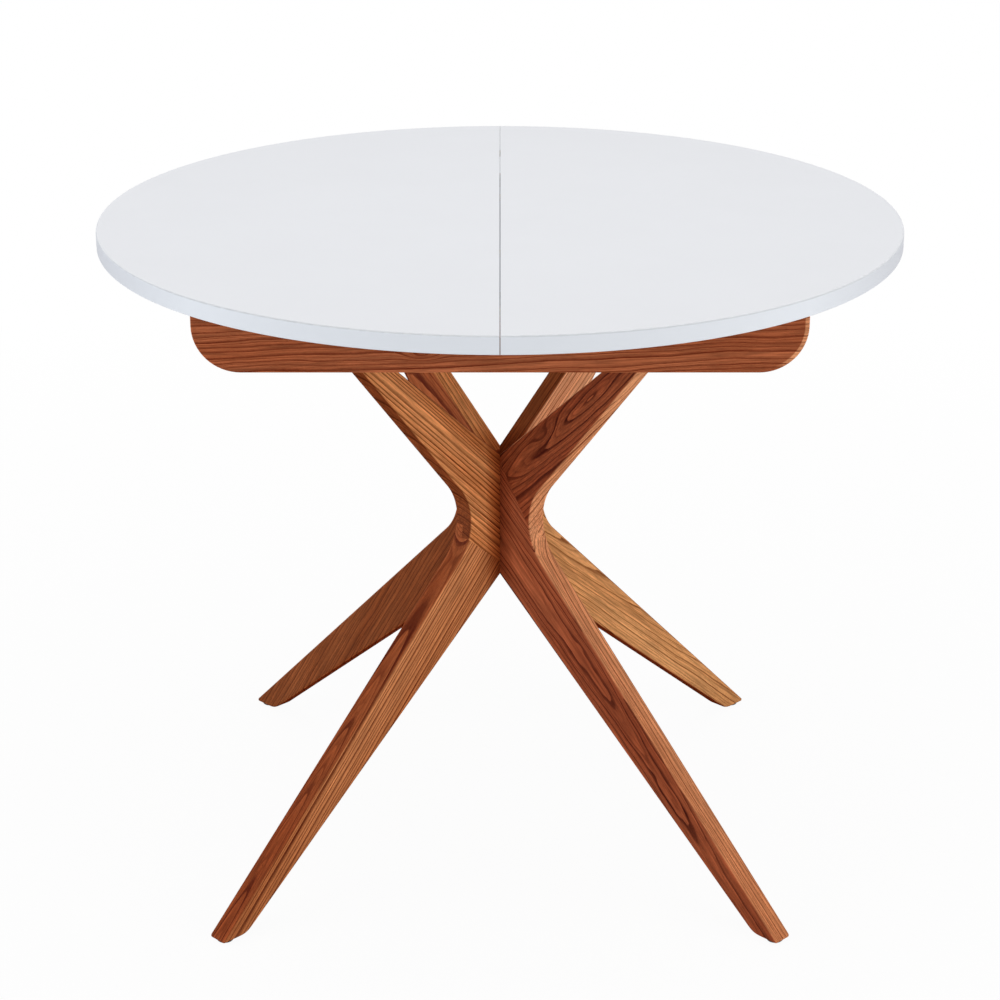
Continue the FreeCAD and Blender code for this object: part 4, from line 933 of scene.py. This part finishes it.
# %% Plastic materials
def make_plastic(name, light, dark, rough, relief):
    """Moulded plastic with a faint spark-eroded texture."""
    material, tree, surface, vector = start_material(name)
    marks = use_group(tree, handling_marks, Vector=vector, Speckle_Size=0.5 * MM)
    join(tree, blend_colours(tree, marks["Cloud"], dark, light), surface.inputs["Base Color"])
    join(tree, spread(tree, marks["Speckle"], *NOISE_SPAN, *rough), surface.inputs["Roughness"])
    add_bump(tree, surface, marks["Speckle"], relief, 0.5)
    return material


nylon = make_plastic("off-white nylon", light=(0.80, 0.78, 0.71), dark=(0.73, 0.71, 0.64),
                     rough=(0.36, 0.5), relief=0.02 * MM)
polythene = make_plastic("dark polythene", light=(0.030, 0.026, 0.023), dark=(0.018, 0.016, 0.014),
                         rough=(0.42, 0.58), relief=0.03 * MM)
dress(nylon, "rack_front_left", "rack_front_right", "rack_rear_left", "rack_rear_right",
      "pinion_front", "pinion_rear")
dress(polythene, "foot_glides")
print("Plastic pieces are dressed")

# %% [markdown]
# Felt is short wool: a soft, rough surface with a little sheen and a fine nap. It lines the
# ledgers that carry the folded leaf and makes the buffers between its panels.

# %% Felt material
FELT_DARK = (0.075, 0.068, 0.062)
FELT_LIGHT = (0.150, 0.138, 0.126)
NAP_CELLS = (1800.0, 900.0, 1400.0)
NAP_RELIEF = 0.4 * MM


def make_felt():
    """Grey wool felt, lighter and smoother on its tufts."""
    material, tree, surface, vector = start_material("grey wool felt", Sheen_Weight=0.4, Sheen_Roughness=0.5)
    marks = use_group(tree, handling_marks, Vector=vector, Speckle_Size=0.5 * MM)
    nap = noise(tree, vector, NAP_CELLS, detail=4.0, roughness=0.7).outputs["Fac"]
    tuft = calc(tree, "MULTIPLY", calc(tree, "ADD", nap, marks["Speckle"]), 0.5)
    colour = blend_colours(tree, spread(tree, tuft, 0.35, 0.65), FELT_DARK, FELT_LIGHT)
    join(tree, colour, surface.inputs["Base Color"])
    join(tree, spread(tree, tuft, *NOISE_SPAN, 0.88, 1.0), surface.inputs["Roughness"])
    add_bump(tree, surface, tuft, NAP_RELIEF, 0.8)
    return material


dress(make_felt(), "ledger_felts", "leaf_buffers")
print("Felt pieces are dressed")

# %% [markdown]
# ## A plain studio
# A pale floor runs out into white. The camera sees the floor as nearly white, with a faint
# shadow under the table, while the table itself is lit at a plain level. From below, the floor
# is clear, so that the underside can be looked at.
#
# Light Path makes this possible: it tells rays that look at the floor, straight or by way of a
# reflection or a clear piece, from rays that only carry its light on to the table. The first
# kind meets a white glow and the second a plain floor.


# %% Helpers for the studio
def looked_at(tree):
    """1 for rays that look at a surface, 0 for rays that only carry light."""
    path = add_node(tree, "ShaderNodeLightPath")
    seen = calc(tree, "MAXIMUM", path.outputs["Is Camera Ray"], path.outputs["Is Glossy Ray"])
    return calc(tree, "MAXIMUM", seen, path.outputs["Is Transmission Ray"])


def mix_shaders(tree, factor, first, second):
    """Two shaders mixed by a factor; gives the output socket."""
    mix = add_node(tree, "ShaderNodeMixShader")
    for index, source in enumerate((factor, first, second)):
        join(tree, source, mix.inputs[index])
    return mix.outputs[0]


print("Studio helpers are ready")

# %% [markdown]
# Near the table a small share of the plain floor is left in what the camera sees, and that
# share carries the shadow. It fades out a little over two metres from the middle of the table.

# %% Floor
FLOOR_SIZE = 60.0
FLOOR_GREY = (0.86, 0.86, 0.86, 1.0)
SHADOW_SHARE = 0.05
SHADOW_FADE = (0.8, 2.2)


def make_floor_material():
    """A floor that glows white where it is looked at, but for a share that shows the shadow."""
    material, tree, surface, vector = start_material("studio floor", Base_Color=FLOOR_GREY, Roughness=0.9,
                                                     Specular_IOR_Level=0.0)
    glow = add_node(tree, "ShaderNodeEmission")
    glow.inputs["Strength"].default_value = 1.0
    reach = add_node(tree, "ShaderNodeVectorMath", operation="LENGTH")
    join(tree, vector, reach.inputs[0])
    far = spread(tree, reach.outputs["Value"], *SHADOW_FADE, 1.0 - SHADOW_SHARE, 1.0)
    white_share = calc(tree, "MULTIPLY", looked_at(tree), far)
    whitened = mix_shaders(tree, white_share, surface.outputs[0], glow.outputs[0])
    clear = add_node(tree, "ShaderNodeBsdfTransparent")
    sided = add_node(tree, "ShaderNodeNewGeometry")
    both = mix_shaders(tree, sided.outputs["Backfacing"], whitened, clear.outputs[0])
    join(tree, both, tree.nodes["Material Output"].inputs["Surface"])
    return material


def make_floor():
    """One large square, kept out of the model as a part of the stage."""
    mesh = bpy.data.meshes.new("studio_floor")
    shape = bmesh.new()
    bmesh.ops.create_grid(shape, x_segments=1, y_segments=1, size=FLOOR_SIZE / 2.0)
    shape.to_mesh(mesh)
    shape.free()
    floor = bpy.data.objects.new("studio_floor", mesh)
    bpy.context.scene.collection.objects.link(floor)
    mesh.materials.append(make_floor_material())


make_floor()
print("Floor is ready,", FLOOR_SIZE, "m wide")

# %% [markdown]
# The world works the same way: it is white where it is looked at, and its light on the table is
# a little under half as strong. The Standard view then shows each colour about as it is written.

# %% World and view
WORLD_LIGHT = 0.42


def make_world():
    """A white world that lights the table at a plain level."""
    world = bpy.data.worlds.new("studio")
    world.use_nodes = True
    tree = world.node_tree
    tree.nodes.clear()
    background = add_node(tree, "ShaderNodeBackground")
    background.inputs["Color"].default_value = (1.0, 1.0, 1.0, 1.0)
    join(tree, spread(tree, looked_at(tree), 0.0, 1.0, WORLD_LIGHT, 1.0), background.inputs["Strength"])
    output = add_node(tree, "ShaderNodeOutputWorld")
    join(tree, background.outputs[0], output.inputs["Surface"])
    bpy.context.scene.world = world


make_world()
bpy.context.scene.view_settings.view_transform = "Standard"
print("World is ready, it lights at", WORLD_LIGHT)

# %% [markdown]
# Three large soft lamps do the rest. The key stands to the right and in front, so the faces of
# the base that look right are brighter, and a slightly weaker fill stands to the left. Most of the
# difference between the faces that look right and the warm half shade of those that look left is
# painted light in the boards' tones. An overhead panel lights the top. A large lamp near the table
# gives soft shadows, as a window does.

# %% Lamps
LAMP_SIZE = 2.4
LAMP_AIM = Vector((0.0, 0.0, 0.45))


def soft_lamp(name, place, watts, colour=(1.0, 1.0, 1.0)):
    """A square lamp that looks at the middle of the table."""
    data = bpy.data.lights.new(name, "AREA")
    data.shape = "SQUARE"
    data.size = LAMP_SIZE
    data.energy = watts
    data.color = colour
    lamp = bpy.data.objects.new(name, data)
    lamp.location = place
    lamp.rotation_euler = (LAMP_AIM - Vector(place)).to_track_quat("-Z", "Y").to_euler()
    bpy.context.scene.collection.objects.link(lamp)


soft_lamp("key lamp", place=(2.9, -1.7, 1.3), watts=45.0, colour=(1.0, 0.985, 0.965))
soft_lamp("fill lamp", place=(-2.9, -1.5, 1.3), watts=41.0, colour=(0.975, 0.985, 1.0))
soft_lamp("overhead lamp", place=(0.0, 0.15, 3.2), watts=34.0)

# %% Finish
bpy.context.view_layer.update()
